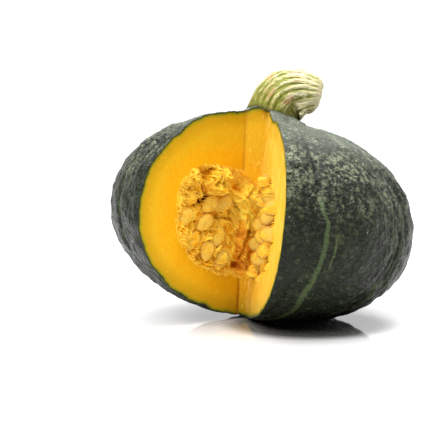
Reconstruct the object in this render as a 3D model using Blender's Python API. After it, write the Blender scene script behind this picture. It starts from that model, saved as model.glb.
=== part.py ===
"""Kabocha squash with a wedge cut out of it, lying as it settles: the rind and flesh in one body, with the
stem, the fibrous pulp and the seeds as pieces of their own.

Shapes are made in fruit coordinates: the origin is the fruit's middle, +Z runs to the stem, and the wedge
opens towards -Y. An azimuth is measured from -Y, positive towards +X. Everything hangs on one empty, which
leans the fruit the way it rests. Lengths are in metres.
"""

import math
import random

import bmesh
import bpy
from mathutils import Euler, Matrix, Vector

# The fruit's outside.
FRUIT_RADIUS = 0.095
STEM_HALF = 0.0645
FOOT_HALF = 0.063
PROFILE_POWER = 2.1
LOBES = 8
LOBE_DEPTH = 0.0024
LOBE_MEAN = 2.0 / math.pi  # the mean of |sin|, so that the lobes neither fatten nor thin the fruit
FURROW_AZIMUTH = math.radians(18.5)
COLLAR_HEIGHT = 0.0062
COLLAR_SPREAD = 0.255
COLLAR_CENTRE = Vector((-0.0065, 0.0, STEM_HALF))
BASIN_DEPTH = 0.0016
BASIN_ANGLE = 0.42
BASIN_SPREAD = 0.17

# How it lies: how far the stem leans right and back, the turn that points the wedge at -Y, and how much of
# the lowest bulge is worn flat where the fruit rests.
LEAN_RIGHT = math.radians(9.9)
LEAN_BACK = math.radians(7.5)
TURN = math.radians(19.0)
FOOT_FLAT = 0.002

# The wedge: two knife cuts and the narrow face between them where the piece broke away.
LEFT_EDGE_TOP = Vector((-0.0218, -0.0121, 0.065))
LEFT_EDGE_FOOT = Vector((-0.0048, 0.0115, -0.063))
FACET_HEADING = math.radians(99.5)
FACET_WIDTH_TOP = 0.0145
FACET_WIDTH_FOOT = 0.0058
LEFT_CUT_AZIMUTH = math.radians(-46.6)
RIGHT_CUT_AZIMUTH = math.radians(8.4)

# The seed cavity.
CAVITY_HEIGHT = -0.005
CAVITY_RADIUS = 0.064
CAVITY_HALF = 0.0365
CAVITY_POWER = 2.3
TOP_DIMPLE = 0.0145
FOOT_DIMPLE = 0.005
DIMPLE_SPREAD = 0.45

# The pulp stands back from the cuts, and its hollows are (cut, reach, height, radius along, radius up).
PULP_RECESS = 0.003
HOLLOW_DEPTH = 0.007
HOLLOWS = (
    ("left", 0.034, 0.016, 0.0042, 0.0085),
    ("left", 0.003, 0.014, 0.0045, 0.0040),
    ("left", 0.010, -0.004, 0.0022, 0.0060),
    ("right", 0.004, -0.018, 0.0022, 0.0090),
    ("right", 0.037, -0.026, 0.0050, 0.0040),
)

# Seeds, and where each one's middle is on its cut: (cut, reach, height).
SEED_LENGTH = 0.0150
SEED_WIDTH = 0.0096
SEED_THICKNESS = 0.0036
SEED_POINT = 0.22
SEED_SINK = {"left": 0.0022, "right": 0.0012}
SEED_TILT = {"left": math.radians(18.0), "right": math.radians(58.0)}
SEED_TURN = {"left": math.radians(65.0), "right": math.radians(20.0)}
TILT_JITTER = math.radians(14.0)
TURN_JITTER = math.radians(28.0)
RANDOM_START = 7
SEED_PLACES = (
    ("left", 0.0260, 0.0030),
    ("left", 0.0150, 0.0045),
    ("left", 0.0260, 0.0165),
    ("left", 0.0410, 0.0070),
    ("left", 0.0465, -0.0080),
    ("left", 0.0300, -0.0090),
    ("left", 0.0185, -0.0160),
    ("left", 0.0405, -0.0220),
    ("left", 0.0270, -0.0260),
    ("left", 0.0150, -0.0305),
    ("right", 0.0270, 0.0225),
    ("right", 0.0230, 0.0110),
    ("right", 0.0380, 0.0140),
    ("right", 0.0390, 0.0020),
    ("right", 0.0150, -0.0030),
    ("right", 0.0510, 0.0070),
    ("right", 0.0500, -0.0095),
    ("right", 0.0290, -0.0110),
    ("right", 0.0140, -0.0155),
    ("right", 0.0420, -0.0190),
    ("right", 0.0260, -0.0245),
    ("right", 0.0190, -0.0320),
)

# The stem: a bent, ribbed peduncle that ends in a blunt dry tip. Each ring is (way along, radius).
STEM_START = Vector((-0.0042, 0.0024, 0.056))
STEM_BEND = Vector((-0.0052, 0.0024, 0.0870))
STEM_TIP = Vector((0.0225, 0.0005, 0.0885))
STEM_RINGS = (
    (0.00, 0.0163),
    (0.16, 0.0160),
    (0.28, 0.0158),
    (0.40, 0.0157),
    (0.52, 0.0155),
    (0.64, 0.0149),
    (0.76, 0.0139),
    (0.86, 0.0126),
    (0.94, 0.0107),
    (1.00, 0.0080),
)
STEM_RIBS = 10
STEM_RIB_HEIGHT = 0.045

# How finely the pieces are faceted, and the gap that keeps touching pieces apart.
RIND_SEGMENTS = 56
RIND_RINGS = 26
CAVITY_SEGMENTS = 32
CAVITY_RINGS = 18
SEED_SEGMENTS = 10
SEED_RINGS = 6
HOLLOW_SEGMENTS = 10
HOLLOW_RINGS = 6
STEM_SIDES_PER_RIB = 4
GAP = 0.0004
PULP_GAP = 0.0006
SLAB_SIZE = 0.4
SHARP_ANGLE = math.radians(50.0)

NAME = "kabocha_squash"
COLOURS = {
    "rind": ((0.020, 0.035, 0.018), 0.45),
    "pulp": ((0.850, 0.420, 0.040), 0.60),
    "seed": ((0.820, 0.580, 0.260), 0.55),
    "stem": ((0.520, 0.500, 0.260), 0.75),
}


def remove_objects():
    for thing in list(bpy.data.objects):
        bpy.data.objects.remove(thing, do_unlink=True)


def new_collection(name, parent):
    made = bpy.data.collections.new(name)
    parent.children.link(made)
    return made


def new_material(name):
    colour, roughness = COLOURS[name]
    material = bpy.data.materials.new(name)
    material.use_nodes = True
    shader = material.node_tree.nodes["Principled BSDF"]
    shader.inputs["Base Color"].default_value = (*colour, 1.0)
    shader.inputs["Roughness"].default_value = roughness
    shader.inputs["Metallic"].default_value = 0.0
    return material


def new_object(name, mesh, collection, parent=None):
    thing = bpy.data.objects.new(name, mesh)
    thing.parent = parent
    collection.objects.link(thing)
    return thing


def as_cutter(thing):
    thing.hide_render = True
    thing.display_type = "WIRE"
    return thing


def cut(thing, cutter):
    modifier = thing.modifiers.new(cutter.name, "BOOLEAN")
    modifier.operation = "DIFFERENCE"
    modifier.object = cutter


def heading(azimuth):
    """The level direction at an azimuth."""
    return Vector((math.sin(azimuth), -math.cos(azimuth), 0.0))


def oval(direction, radius, half, power):
    """Distance from the middle to a rounded squat shape, along a unit direction."""
    across = math.hypot(direction.x, direction.y)
    return ((across / radius) ** power + (abs(direction.z) / half) ** power) ** (-1.0 / power)


def bump(offset, spread):
    return math.exp(-((offset / spread) ** 2))


def rind_reach(direction):
    """Distance from the fruit's middle to the rind's outside: lobed, with a collar under the stem."""
    half = STEM_HALF if direction.z > 0.0 else FOOT_HALF
    across = math.hypot(direction.x, direction.y)
    azimuth = math.atan2(direction.x, -direction.y)
    crest = abs(math.sin(LOBES / 2.0 * (azimuth - FURROW_AZIMUTH)))
    lobe = LOBE_DEPTH * (crest - LOBE_MEAN) * across
    collar = COLLAR_HEIGHT * bump(direction.angle(COLLAR_CENTRE), COLLAR_SPREAD)
    from_stem = direction.angle(Vector((0.0, 0.0, 1.0)))
    basin = BASIN_DEPTH * bump(from_stem - BASIN_ANGLE, BASIN_SPREAD)
    return oval(direction, FRUIT_RADIUS, half, PROFILE_POWER) + lobe + collar - basin


def cavity_reach(direction):
    """Distance from the cavity's middle to its wall, which bulges inwards over the stem and the foot."""
    from_top = direction.angle(Vector((0.0, 0.0, 1.0)))
    top = TOP_DIMPLE * bump(from_top, DIMPLE_SPREAD)
    foot = FOOT_DIMPLE * bump(math.pi - from_top, DIMPLE_SPREAD)
    return oval(direction, CAVITY_RADIUS, CAVITY_HALF, CAVITY_POWER) - top - foot


def shaped_ball(name, segments, rings, reach, offset=0.0, turn=0.0):
    """A closed ball whose surface is moved to reach(direction) + offset."""
    bm = bmesh.new()
    spin = Matrix.Rotation(turn, 4, "Z")
    bmesh.ops.create_uvsphere(bm, u_segments=segments, v_segments=rings, radius=1.0, matrix=spin)
    for vert in bm.verts:
        direction = vert.co.normalized()
        vert.co = direction * (reach(direction) + offset)
    return finish_mesh(bm, name)


def finish_mesh(bm, name):
    mesh = bpy.data.meshes.new(name)
    bm.to_mesh(mesh)
    bm.free()
    mesh.shade_smooth()
    mesh.set_sharp_from_angle(angle=SHARP_ANGLE)
    return mesh


def edge_at(cut_name, height):
    """The point at this height on the inner edge of a cut."""
    share = (height - LEFT_EDGE_FOOT.z) / (LEFT_EDGE_TOP.z - LEFT_EDGE_FOOT.z)
    point = LEFT_EDGE_FOOT.lerp(LEFT_EDGE_TOP, share)
    if cut_name == "right":
        width = FACET_WIDTH_FOOT + (FACET_WIDTH_TOP - FACET_WIDTH_FOOT) * share
        point = point + heading(FACET_HEADING) * width
    return point


def edge_direction(cut_name):
    return (edge_at(cut_name, LEFT_EDGE_TOP.z) - edge_at(cut_name, LEFT_EDGE_FOOT.z)).normalized()


def cut_faces():
    """Each face of the wedge as a point on it and the normal that points into the fruit."""
    ways = (
        ("left", -heading(LEFT_CUT_AZIMUTH)),
        ("left", heading(FACET_HEADING)),
        ("right", heading(RIGHT_CUT_AZIMUTH)),
    )
    return [(edge_at(name, 0.0), edge_direction(name).cross(way).normalized()) for name, way in ways]


def wedge_mesh(name, recess):
    """The space that the knife took out, each face moved into the fruit by recess."""
    bm = bmesh.new()
    slab = Matrix.Translation((0.0, -SLAB_SIZE / 2.0 + FRUIT_RADIUS, 0.0))
    bmesh.ops.create_cube(bm, size=SLAB_SIZE, matrix=slab)
    for point, normal in cut_faces():
        everything = bm.verts[:] + bm.edges[:] + bm.faces[:]
        sliced = bmesh.ops.bisect_plane(
            bm, geom=everything, plane_co=point + normal * recess, plane_no=normal, clear_outer=True
        )
        rim = [part for part in sliced["geom_cut"] if isinstance(part, bmesh.types.BMEdge)]
        bmesh.ops.contextual_create(bm, geom=rim)
    bmesh.ops.recalc_face_normals(bm, faces=bm.faces[:])
    return finish_mesh(bm, name)


def place_on_cut(cut_name, reach, height, sink, tilt=0.0, turn=0.0):
    """A frame on a cut face: X along the cut, Y up it and Z out into the wedge, then tilted and turned."""
    azimuth = LEFT_CUT_AZIMUTH if cut_name == "left" else RIGHT_CUT_AZIMUTH
    along = heading(azimuth)
    out = along.cross(edge_direction(cut_name)).normalized()
    out = -out if cut_name == "left" else out
    up = out.cross(along).normalized()
    basis = Matrix((along, up, out)).transposed().to_4x4()
    middle = edge_at(cut_name, height) + along * reach - out * sink
    return (
        Matrix.Translation(middle)
        @ basis
        @ Matrix.Rotation(tilt, 4, "Y")
        @ Matrix.Rotation(turn, 4, "Z")
    )


def flat_oval_mesh(name, half_size, point, segments, rings):
    """A flattened oval along X that narrows towards +X."""
    bm = bmesh.new()
    lay_down = Matrix.Rotation(math.pi / 2.0, 4, "Y")
    bmesh.ops.create_uvsphere(bm, u_segments=segments, v_segments=rings, radius=1.0, matrix=lay_down)
    for vert in bm.verts:
        narrow = 1.0 - point * vert.co.x
        vert.co = Vector(
            (vert.co.x * half_size.x, vert.co.y * half_size.y * narrow, vert.co.z * half_size.z)
        )
    return finish_mesh(bm, name)


def seed_mesh(name, margin):
    half = Vector((SEED_LENGTH, SEED_WIDTH, SEED_THICKNESS)) / 2.0 + Vector((margin, margin, margin))
    return flat_oval_mesh(name, half, SEED_POINT, SEED_SEGMENTS, SEED_RINGS)


def seed_frames():
    """Where every seed lies, each a little out of line with its neighbours."""
    rng = random.Random(RANDOM_START)
    frames = []
    for cut_name, reach, height in SEED_PLACES:
        tilt = SEED_TILT[cut_name] + rng.uniform(-TILT_JITTER, TILT_JITTER)
        turn = SEED_TURN[cut_name] + rng.uniform(-TURN_JITTER, TURN_JITTER)
        frames.append(place_on_cut(cut_name, reach, height, SEED_SINK[cut_name], tilt, turn))
    return frames


def stem_mesh(name):
    """Ribbed rings along a bent line, closed at both ends."""
    sides = STEM_RIBS * STEM_SIDES_PER_RIB
    bm = bmesh.new()
    loops = []
    for way, radius in STEM_RINGS:
        middle = STEM_START.lerp(STEM_BEND, way).lerp(STEM_BEND.lerp(STEM_TIP, way), way)
        tangent = STEM_BEND.lerp(STEM_TIP, way) - STEM_START.lerp(STEM_BEND, way)
        side = Vector((0.0, 1.0, 0.0))
        front = side.cross(tangent).normalized()
        loop = []
        for step in range(sides):
            angle = 2.0 * math.pi * step / sides
            ribbed = radius * (1.0 + STEM_RIB_HEIGHT * math.cos(STEM_RIBS * angle))
            loop.append(bm.verts.new(middle + (front * math.cos(angle) + side * math.sin(angle)) * ribbed))
        loops.append(loop)
    for lower, upper in zip(loops, loops[1:]):
        for step in range(sides):
            ahead = (step + 1) % sides
            bm.faces.new((lower[step], lower[ahead], upper[ahead], upper[step]))
    bm.faces.new(reversed(loops[0]))
    bm.faces.new(loops[-1])
    return finish_mesh(bm, name)


def lowest(thing):
    return min((thing.matrix_world @ vert.co).z for vert in thing.data.vertices)


def build_body(parts, cutters, root, wedge):
    """Rind and flesh in one solid, less the wedge, the seed cavity and the flat it lies on."""
    turn = FURROW_AZIMUTH
    mesh = shaped_ball("squash_body", RIND_SEGMENTS, RIND_RINGS, rind_reach, turn=turn)
    body = new_object("squash_body", mesh, parts, root)
    body.data.materials.append(new_material("rind"))
    cavity_shape = shaped_ball("cavity", CAVITY_SEGMENTS, CAVITY_RINGS, cavity_reach)
    cavity = as_cutter(new_object("cavity", cavity_shape, cutters, root))
    cavity.location.z = CAVITY_HEIGHT
    bpy.context.view_layer.update()
    root.location.z -= lowest(body) + FOOT_FLAT
    bm = bmesh.new()
    below = Matrix.Translation((0.0, 0.0, -SLAB_SIZE / 2.0))
    bmesh.ops.create_cube(bm, size=SLAB_SIZE, matrix=below)
    ground = as_cutter(new_object("ground", finish_mesh(bm, "ground"), cutters))
    for cutter in (wedge, cavity, ground):
        cut(body, cutter)
    return body


def build_pulp(parts, cutters, root, frames):
    """Fibrous mass that fills the cavity, with a pocket for each seed and a few open hollows."""
    mesh = shaped_ball("pulp", CAVITY_SEGMENTS, CAVITY_RINGS, cavity_reach, offset=-PULP_GAP)
    pulp = new_object("pulp", mesh, parts, root)
    pulp.location.z = CAVITY_HEIGHT
    pulp.data.materials.append(new_material("pulp"))
    recessed = as_cutter(new_object("pulp_wedge", wedge_mesh("pulp_wedge", PULP_RECESS), cutters, root))
    cut(pulp, recessed)
    pockets = new_collection("pockets", cutters)
    pocket_shape = seed_mesh("pocket", GAP)
    for number, frame in enumerate(frames, 1):
        pocket = as_cutter(new_object(f"pocket_{number:02d}", pocket_shape, pockets, root))
        pocket.matrix_local = frame
    for number, (cut_name, reach, height, along, up) in enumerate(HOLLOWS, 1):
        half = Vector((along, up, HOLLOW_DEPTH))
        shape = flat_oval_mesh(f"hollow_{number}", half, 0.0, HOLLOW_SEGMENTS, HOLLOW_RINGS)
        hollow = as_cutter(new_object(f"hollow_{number}", shape, pockets, root))
        hollow.matrix_local = place_on_cut(cut_name, reach, height, PULP_RECESS)
    modifier = pulp.modifiers.new("pockets", "BOOLEAN")
    modifier.operation = "DIFFERENCE"
    modifier.operand_type = "COLLECTION"
    modifier.collection = pockets
    return pulp


def build_seeds(parts, root, frames):
    shape = seed_mesh("seed", 0.0)
    shape.materials.append(new_material("seed"))
    for number, frame in enumerate(frames, 1):
        seed = new_object(f"seed_{number:02d}", shape, parts, root)
        seed.matrix_local = frame


def build_stem(parts, cutters, root):
    """The stem, cut to sit on the collar."""
    stem = new_object("stem", stem_mesh("stem"), parts, root)
    stem.data.materials.append(new_material("stem"))
    shape = shaped_ball("stem_seat", RIND_SEGMENTS, RIND_RINGS, rind_reach, GAP, FURROW_AZIMUTH)
    cut(stem, as_cutter(new_object("stem_seat", shape, cutters, root)))
    return stem


def centre_over_origin(parts, root):
    """Moves the fruit level, so that the middle of its box is over the origin."""
    bpy.context.view_layer.update()
    graph = bpy.context.evaluated_depsgraph_get()
    points = []
    for thing in parts.objects:
        solid = thing.evaluated_get(graph)
        points += [solid.matrix_world @ vert.co for vert in solid.data.vertices]
    for axis in (0, 1):
        values = [point[axis] for point in points]
        root.location[axis] -= (min(values) + max(values)) / 2.0


def main():
    remove_objects()
    parts = new_collection(NAME, bpy.context.scene.collection)
    cutters = new_collection("cutters", bpy.context.scene.collection)
    root = new_object(NAME, None, bpy.context.scene.collection)
    root.rotation_mode = "YXZ"
    root.rotation_euler = Euler((-LEAN_BACK, LEAN_RIGHT, TURN), "YXZ")
    wedge = as_cutter(new_object("wedge", wedge_mesh("wedge", 0.0), cutters, root))
    frames = seed_frames()
    build_body(parts, cutters, root, wedge)
    build_pulp(parts, cutters, root, frames)
    build_seeds(parts, root, frames)
    build_stem(parts, cutters, root)
    centre_over_origin(parts, root)


if __name__ == "__main__":
    main()
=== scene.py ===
"""Kabocha squash with a wedge cut out of it: rind, flesh, pulp, fibres, seeds and stem, finished around
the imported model, and the stage it lies on.

Shapes are made in fruit coordinates, as in the part: the origin is the fruit's middle, +Z runs to the stem
and the wedge opens towards -Y. An azimuth is measured from -Y, positive towards +X. A reach is measured along
a cut from its inner edge. Mesh code works in millimetres, and to_frame() turns them into the frame's metres.
"""

import math

import bpy
import numpy as np
from mathutils import Euler, Matrix, Vector


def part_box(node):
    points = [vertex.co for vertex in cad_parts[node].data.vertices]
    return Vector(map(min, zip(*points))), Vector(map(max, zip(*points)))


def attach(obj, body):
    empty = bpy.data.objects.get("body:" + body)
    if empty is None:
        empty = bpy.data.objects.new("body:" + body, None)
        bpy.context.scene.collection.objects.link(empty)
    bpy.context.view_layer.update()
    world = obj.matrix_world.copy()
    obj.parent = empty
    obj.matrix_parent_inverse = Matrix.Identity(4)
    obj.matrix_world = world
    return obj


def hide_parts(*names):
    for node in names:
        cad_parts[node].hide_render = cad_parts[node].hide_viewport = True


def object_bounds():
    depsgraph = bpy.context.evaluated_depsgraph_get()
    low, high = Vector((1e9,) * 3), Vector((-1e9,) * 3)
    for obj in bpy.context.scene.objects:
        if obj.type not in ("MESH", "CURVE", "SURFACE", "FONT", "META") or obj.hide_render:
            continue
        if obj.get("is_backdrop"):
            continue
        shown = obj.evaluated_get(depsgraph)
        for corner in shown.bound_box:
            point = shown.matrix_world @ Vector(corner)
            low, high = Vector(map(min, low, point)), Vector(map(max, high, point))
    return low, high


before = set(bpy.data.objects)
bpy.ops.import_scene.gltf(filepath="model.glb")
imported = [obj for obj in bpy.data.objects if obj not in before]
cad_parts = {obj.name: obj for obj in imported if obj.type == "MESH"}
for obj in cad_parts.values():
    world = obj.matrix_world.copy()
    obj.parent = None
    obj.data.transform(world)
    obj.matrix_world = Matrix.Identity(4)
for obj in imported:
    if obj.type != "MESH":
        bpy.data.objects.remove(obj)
CAD_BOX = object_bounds()

bl_info = {
    "name": "Kabocha squash",
    "version": (1, 0, 0),
    "blender": (4, 5, 0),
    "location": "3D View > Sidebar > Squash",
    "description": "Builds a cut kabocha squash around its packed model",
    "category": "Add Mesh",
}

# The fruit, as the part states it (millimetres and radians).
FRUIT_RADIUS = 95.0
STEM_HALF = 64.5
FOOT_HALF = 63.0
PROFILE_POWER = 2.1
LOBES = 8
LOBE_DEPTH = 2.4
LOBE_MEAN = 2.0 / math.pi
FURROW_AZIMUTH = math.radians(18.5)
COLLAR_HEIGHT = 6.2
COLLAR_SPREAD = 0.255
COLLAR_CENTRE = np.array((-6.5, 0.0, 64.5))
BASIN_DEPTH = 1.6
BASIN_ANGLE = 0.42
BASIN_SPREAD = 0.17
LEAN_RIGHT = math.radians(9.9)
LEAN_BACK = math.radians(7.5)
TURN = math.radians(19.0)
LEFT_EDGE_TOP = np.array((-21.8, -12.1, 65.0))
LEFT_EDGE_FOOT = np.array((-4.8, 11.5, -63.0))
FACET_HEADING = math.radians(99.5)
FACET_WIDTH_TOP = 14.5
FACET_WIDTH_FOOT = 5.8
LEFT_CUT_AZIMUTH = math.radians(-46.6)
RIGHT_CUT_AZIMUTH = math.radians(8.4)
CAVITY_CENTRE = np.array((0.0, 0.0, -5.0))
CAVITY_RADIUS = 64.0
CAVITY_HALF = 36.5
CAVITY_POWER = 2.3
TOP_DIMPLE = 14.5
FOOT_DIMPLE = 5.0
DIMPLE_SPREAD = 0.45
SEED_HALF = np.array((7.5, 4.8, 1.8))
SEED_POINT = 0.22
STEM_START = np.array((-4.6, 2.4, 56.0))
STEM_BEND = np.array((-7.8, 2.4, 89.6))
STEM_TIP = np.array((26.0, 0.5, 82.5))
STEM_WAYS = (0.00, 0.16, 0.28, 0.40, 0.52, 0.64, 0.76, 0.86)
STEM_RADII = (16.6, 16.5, 16.5, 16.5, 16.2, 15.4, 13.9, 11.4)
STEM_END = 0.86
STEM_LENGTH = 40.0
DOME_RISE = 7.0

# What the looks add to it.
MERIDIAN_RADIUS = 80.0
TOP_OVER_MIDDLE = 70.0
RIM_RISE = 2.3
STEM_HOLLOW = np.array((18.0, 2.0, 60.0))
HOLLOW_DEPTH = 2.2
HOLLOW_SPREAD = 8.0
HINGE_SHARE = 0.43
PULP_OVERLAP = 0.3
PULP_BACK_GAP = 2.4

LEFT, FACET, RIGHT = "left", "facet", "right"
MM = 0.001
SHARP_ANGLE = math.radians(50.0)


def smooth(value, start, end):
    """0 before start, 1 after end, and an even S between them."""
    share = np.clip((value - start) / (end - start), 0.0, 1.0)
    return share * share * (3.0 - 2.0 * share)


def bump(offset, spread):
    return np.exp(-((offset / spread) ** 2))


def unit(vectors):
    return vectors / np.linalg.norm(vectors, axis=-1, keepdims=True)


def dot(a, b):
    return np.sum(a * b, axis=-1)


def angle_from(directions, axis):
    return np.arccos(np.clip(dot(unit(directions), unit(np.asarray(axis, float))), -1.0, 1.0))


def srgb(red, green, blue):
    """A colour picked on a screen, 0 to 255, as linear light with full alpha."""
    shares = [value / 255.0 for value in (red, green, blue)]
    return tuple(s / 12.92 if s <= 0.04045 else ((s + 0.055) / 1.055) ** 2.4 for s in shares) + (1.0,)


class Noise:
    """Smooth gradient noise in space, about -1 to 1, the same for the same seed."""

    cells, scale = 256, 1.6
    finer, shift = 2.03, 7.1

    def __init__(self, seed):
        rng = np.random.default_rng(seed)
        self.order = np.tile(rng.permutation(self.cells), 2)
        self.slopes = unit(rng.normal(size=(self.cells, 3)))

    def __call__(self, places):
        cell = np.floor(places).astype(np.int64)
        inside = places - cell
        fade = inside**3 * (inside * (inside * 6.0 - 15.0) + 10.0)
        total = np.zeros(places.shape[:-1])
        for corner in np.ndindex(2, 2, 2):
            x, y, z = np.moveaxis((cell + corner) % self.cells, -1, 0)
            slope = self.slopes[self.order[self.order[self.order[x] + y] + z]]
            weight = np.prod(np.where(corner, fade, 1.0 - fade), axis=-1)
            total += weight * dot(slope, inside - corner)
        return total * self.scale

    def octave(self, places, k):
        return self(places * self.finer**k + self.shift * k)

    def layers(self, places, octaves, gain=0.5):
        """Several sizes of noise on top of each other."""
        return sum(gain**k * self.octave(places, k) for k in range(octaves))

    def ridges(self, places, octaves=2, gain=0.5):
        """Thin crests, 0 to about 1."""
        total = sum(gain**k * (1.0 - np.abs(self.octave(places, k))) ** 3 for k in range(octaves))
        return total / sum(gain**k for k in range(octaves))


def heading(azimuth):
    """The level direction at an azimuth."""
    azimuth = np.asarray(azimuth, float)
    return np.stack((np.sin(azimuth), -np.cos(azimuth), np.zeros_like(azimuth)), axis=-1)


def oval(directions, radius, half, power):
    across = np.hypot(directions[..., 0], directions[..., 1])
    return ((across / radius) ** power + (np.abs(directions[..., 2]) / half) ** power) ** (-1.0 / power)


def rind_reach(directions):
    """Distance from the fruit's middle to the plain rind, lobed and with a collar under the stem."""
    half = np.where(directions[..., 2] > 0.0, STEM_HALF, FOOT_HALF)
    across = np.hypot(directions[..., 0], directions[..., 1])
    azimuth = np.arctan2(directions[..., 0], -directions[..., 1])
    crest = np.abs(np.sin(LOBES / 2.0 * (azimuth - FURROW_AZIMUTH)))
    collar = COLLAR_HEIGHT * bump(angle_from(directions, COLLAR_CENTRE), COLLAR_SPREAD)
    basin = BASIN_DEPTH * bump(angle_from(directions, (0.0, 0.0, 1.0)) - BASIN_ANGLE, BASIN_SPREAD)
    plain = oval(directions, FRUIT_RADIUS, half, PROFILE_POWER)
    return plain + LOBE_DEPTH * (crest - LOBE_MEAN) * across + collar - basin


def cavity_reach(directions):
    """Distance from the cavity's middle to its plain wall, dimpled at the top and the foot."""
    from_top = angle_from(directions, (0.0, 0.0, 1.0))
    dimple_at_top = TOP_DIMPLE * bump(from_top, DIMPLE_SPREAD)
    dimple_at_foot = FOOT_DIMPLE * bump(math.pi - from_top, DIMPLE_SPREAD)
    return oval(directions, CAVITY_RADIUS, CAVITY_HALF, CAVITY_POWER) - (dimple_at_top + dimple_at_foot)


def cast(origins, directions, centre, reach, far=140.0, steps=34):
    """Distance along each ray to the surface that lies reach(direction) from centre."""
    near = np.zeros(directions.shape[:-1])
    far = np.full(directions.shape[:-1], far)
    for _ in range(steps):
        middle = (near + far) / 2.0
        places = origins + directions * middle[..., None] - centre
        inside = np.linalg.norm(places, axis=-1) < reach(unit(places))
        near, far = np.where(inside, middle, near), np.where(inside, far, middle)
    return (near + far) / 2.0


def facet_width(share):
    """Width of the narrow face between the two cuts, share up from the foot."""
    return FACET_WIDTH_FOOT + (FACET_WIDTH_TOP - FACET_WIDTH_FOOT) * share


def hinge(share, across):
    """A point on the wedge's inner edges: share up from the foot, across 0 on the left and 1 on the right."""
    share, across = np.broadcast_arrays(np.asarray(share, float), np.asarray(across, float))
    left = LEFT_EDGE_FOOT + (LEFT_EDGE_TOP - LEFT_EDGE_FOOT) * share[..., None]
    return left + heading(FACET_HEADING) * (facet_width(share) * across)[..., None]


def share_at(height):
    return (height - LEFT_EDGE_FOOT[2]) / (LEFT_EDGE_TOP[2] - LEFT_EDGE_FOOT[2])


def sheet_axes(side):
    """The level direction along a face of the wedge, and the direction out of it into the wedge."""
    edge = unit(hinge(1.0, side == RIGHT) - hinge(0.0, side == RIGHT))
    along = heading({LEFT: LEFT_CUT_AZIMUTH, FACET: FACET_HEADING, RIGHT: RIGHT_CUT_AZIMUTH}[side])
    out = unit(np.cross(along, edge))
    return along, -out if side == LEFT else out


def edge_at(side, height):
    """The point of a face's inner edge at a height. The narrow face starts at the left edge."""
    return hinge(share_at(height), float(side == RIGHT))


def on_face(side, places):
    """How far places are from the inner edge along a face of the wedge, and how far they stand out of it."""
    along, out = sheet_axes(side)
    away = places - edge_at(side, places[..., 2])
    return dot(away, along), dot(away, out)


def sheet_point(side, reach, height, lift):
    """A point that stands lift out of a face of the wedge."""
    along, out = sheet_axes(side)
    return edge_at(side, height) + along * reach[..., None] + out * lift[..., None]


def cavity_margin(side, reach, height):
    """Places on a face of the wedge, and how far inside the cavity's plain wall they are."""
    places = sheet_point(side, reach, height, np.zeros_like(reach))
    away = places - CAVITY_CENTRE
    length = np.linalg.norm(away, axis=-1)
    return places, cavity_reach(away / length[..., None]) - length


def hinged_across(azimuths):
    """Where pages round the fruit are hinged on the narrow face: 1 at its right edge, 0 at its left one."""
    return 1.0 - np.clip((azimuths - FACET_HEADING) / math.pi, 0.0, 1.0)


def page_rays(azimuths, across, rows):
    """Where the pages are hinged, and the direction of each of their rows, from the stem down."""
    up = unit(hinge(1.0, across) - hinge(0.0, across))
    polar = np.linspace(0.0, math.pi, rows + 1)[:, None, None]
    directions = unit(np.cos(polar) * up + np.sin(polar) * heading(azimuths))
    return np.broadcast_to(hinge(HINGE_SHARE, across), directions.shape), directions


def skin_angles(places):
    """Azimuth and latitude of places on the fruit."""
    azimuth = np.arctan2(places[..., 0], -places[..., 1])
    return azimuth, np.arcsin(np.clip(places[..., 2] / np.linalg.norm(places, axis=-1), -1.0, 1.0))


def skin_space(places, across_mm, along_mm):
    """Seamless noise coordinates on the rind, for features this wide and this long along a meridian."""
    azimuth, latitude = skin_angles(places)
    around = FRUIT_RADIUS / across_mm
    level = np.sin(azimuth) * around, -np.cos(azimuth) * around
    return np.stack((*level, latitude * MERIDIAN_RADIUS / along_mm), axis=-1)


def node_corners(node):
    """The corners of a CAD node in the frame."""
    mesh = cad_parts[node].data
    corners = np.empty(len(mesh.vertices) * 3)
    mesh.vertices.foreach_get("co", corners)
    return corners.reshape(-1, 3)


def find_fruit():
    """The fruit's place in the frame, from the CAD body's own outside."""
    turn = np.array(Euler((-LEAN_BACK, LEAN_RIGHT, TURN), "YXZ").to_matrix())
    outside = node_corners("squash_body") / MM
    low, high = (np.array(corner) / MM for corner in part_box("squash_body"))
    origin = np.array(((low[0] + high[0]) / 2.0, (low[1] + high[1]) / 2.0, high[2] - TOP_OVER_MIDDLE))
    for reach_limit in (6.0, 3.0, 1.0, 0.3, 0.1, 0.1):
        local = (outside - origin) @ turn
        directions = unit(local)
        miss = np.linalg.norm(local, axis=-1) - rind_reach(directions)
        used = np.abs(miss) < reach_limit
        step, *_ = np.linalg.lstsq(directions[used], miss[used], rcond=None)
        origin = origin + turn @ step
    return turn, origin


FRUIT_TURN, FRUIT_ORIGIN = find_fruit()


def to_frame(places):
    return (places @ FRUIT_TURN.T + FRUIT_ORIGIN) * MM


def to_fruit(places):
    return (places / MM - FRUIT_ORIGIN) @ FRUIT_TURN


class Value:
    """A number on a node's socket that takes part in Python arithmetic."""

    def __init__(self, graph, socket):
        self.graph, self.socket = graph, socket

    def math(self, operation, *inputs):
        return self.graph.add("ShaderNodeMath", {"operation": operation}, inputs)

    def __add__(self, other):
        return self.math("ADD", self, other)

    def __sub__(self, other):
        return self.math("SUBTRACT", self, other)

    def __rsub__(self, other):
        return self.math("SUBTRACT", other, self)

    def __mul__(self, other):
        return self.math("MULTIPLY", self, other)

    __radd__, __rmul__ = __add__, __mul__

    def most(self, other):
        return self.math("MAXIMUM", self, other)

    def between(self, start, end):
        """0 at start and 1 at end, with an even S between them."""
        settings = {"interpolation_type": "SMOOTHSTEP"}
        return self.graph.add("ShaderNodeMapRange", settings, {0: self, 1: start, 2: end, 3: 0.0, 4: 1.0})


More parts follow.
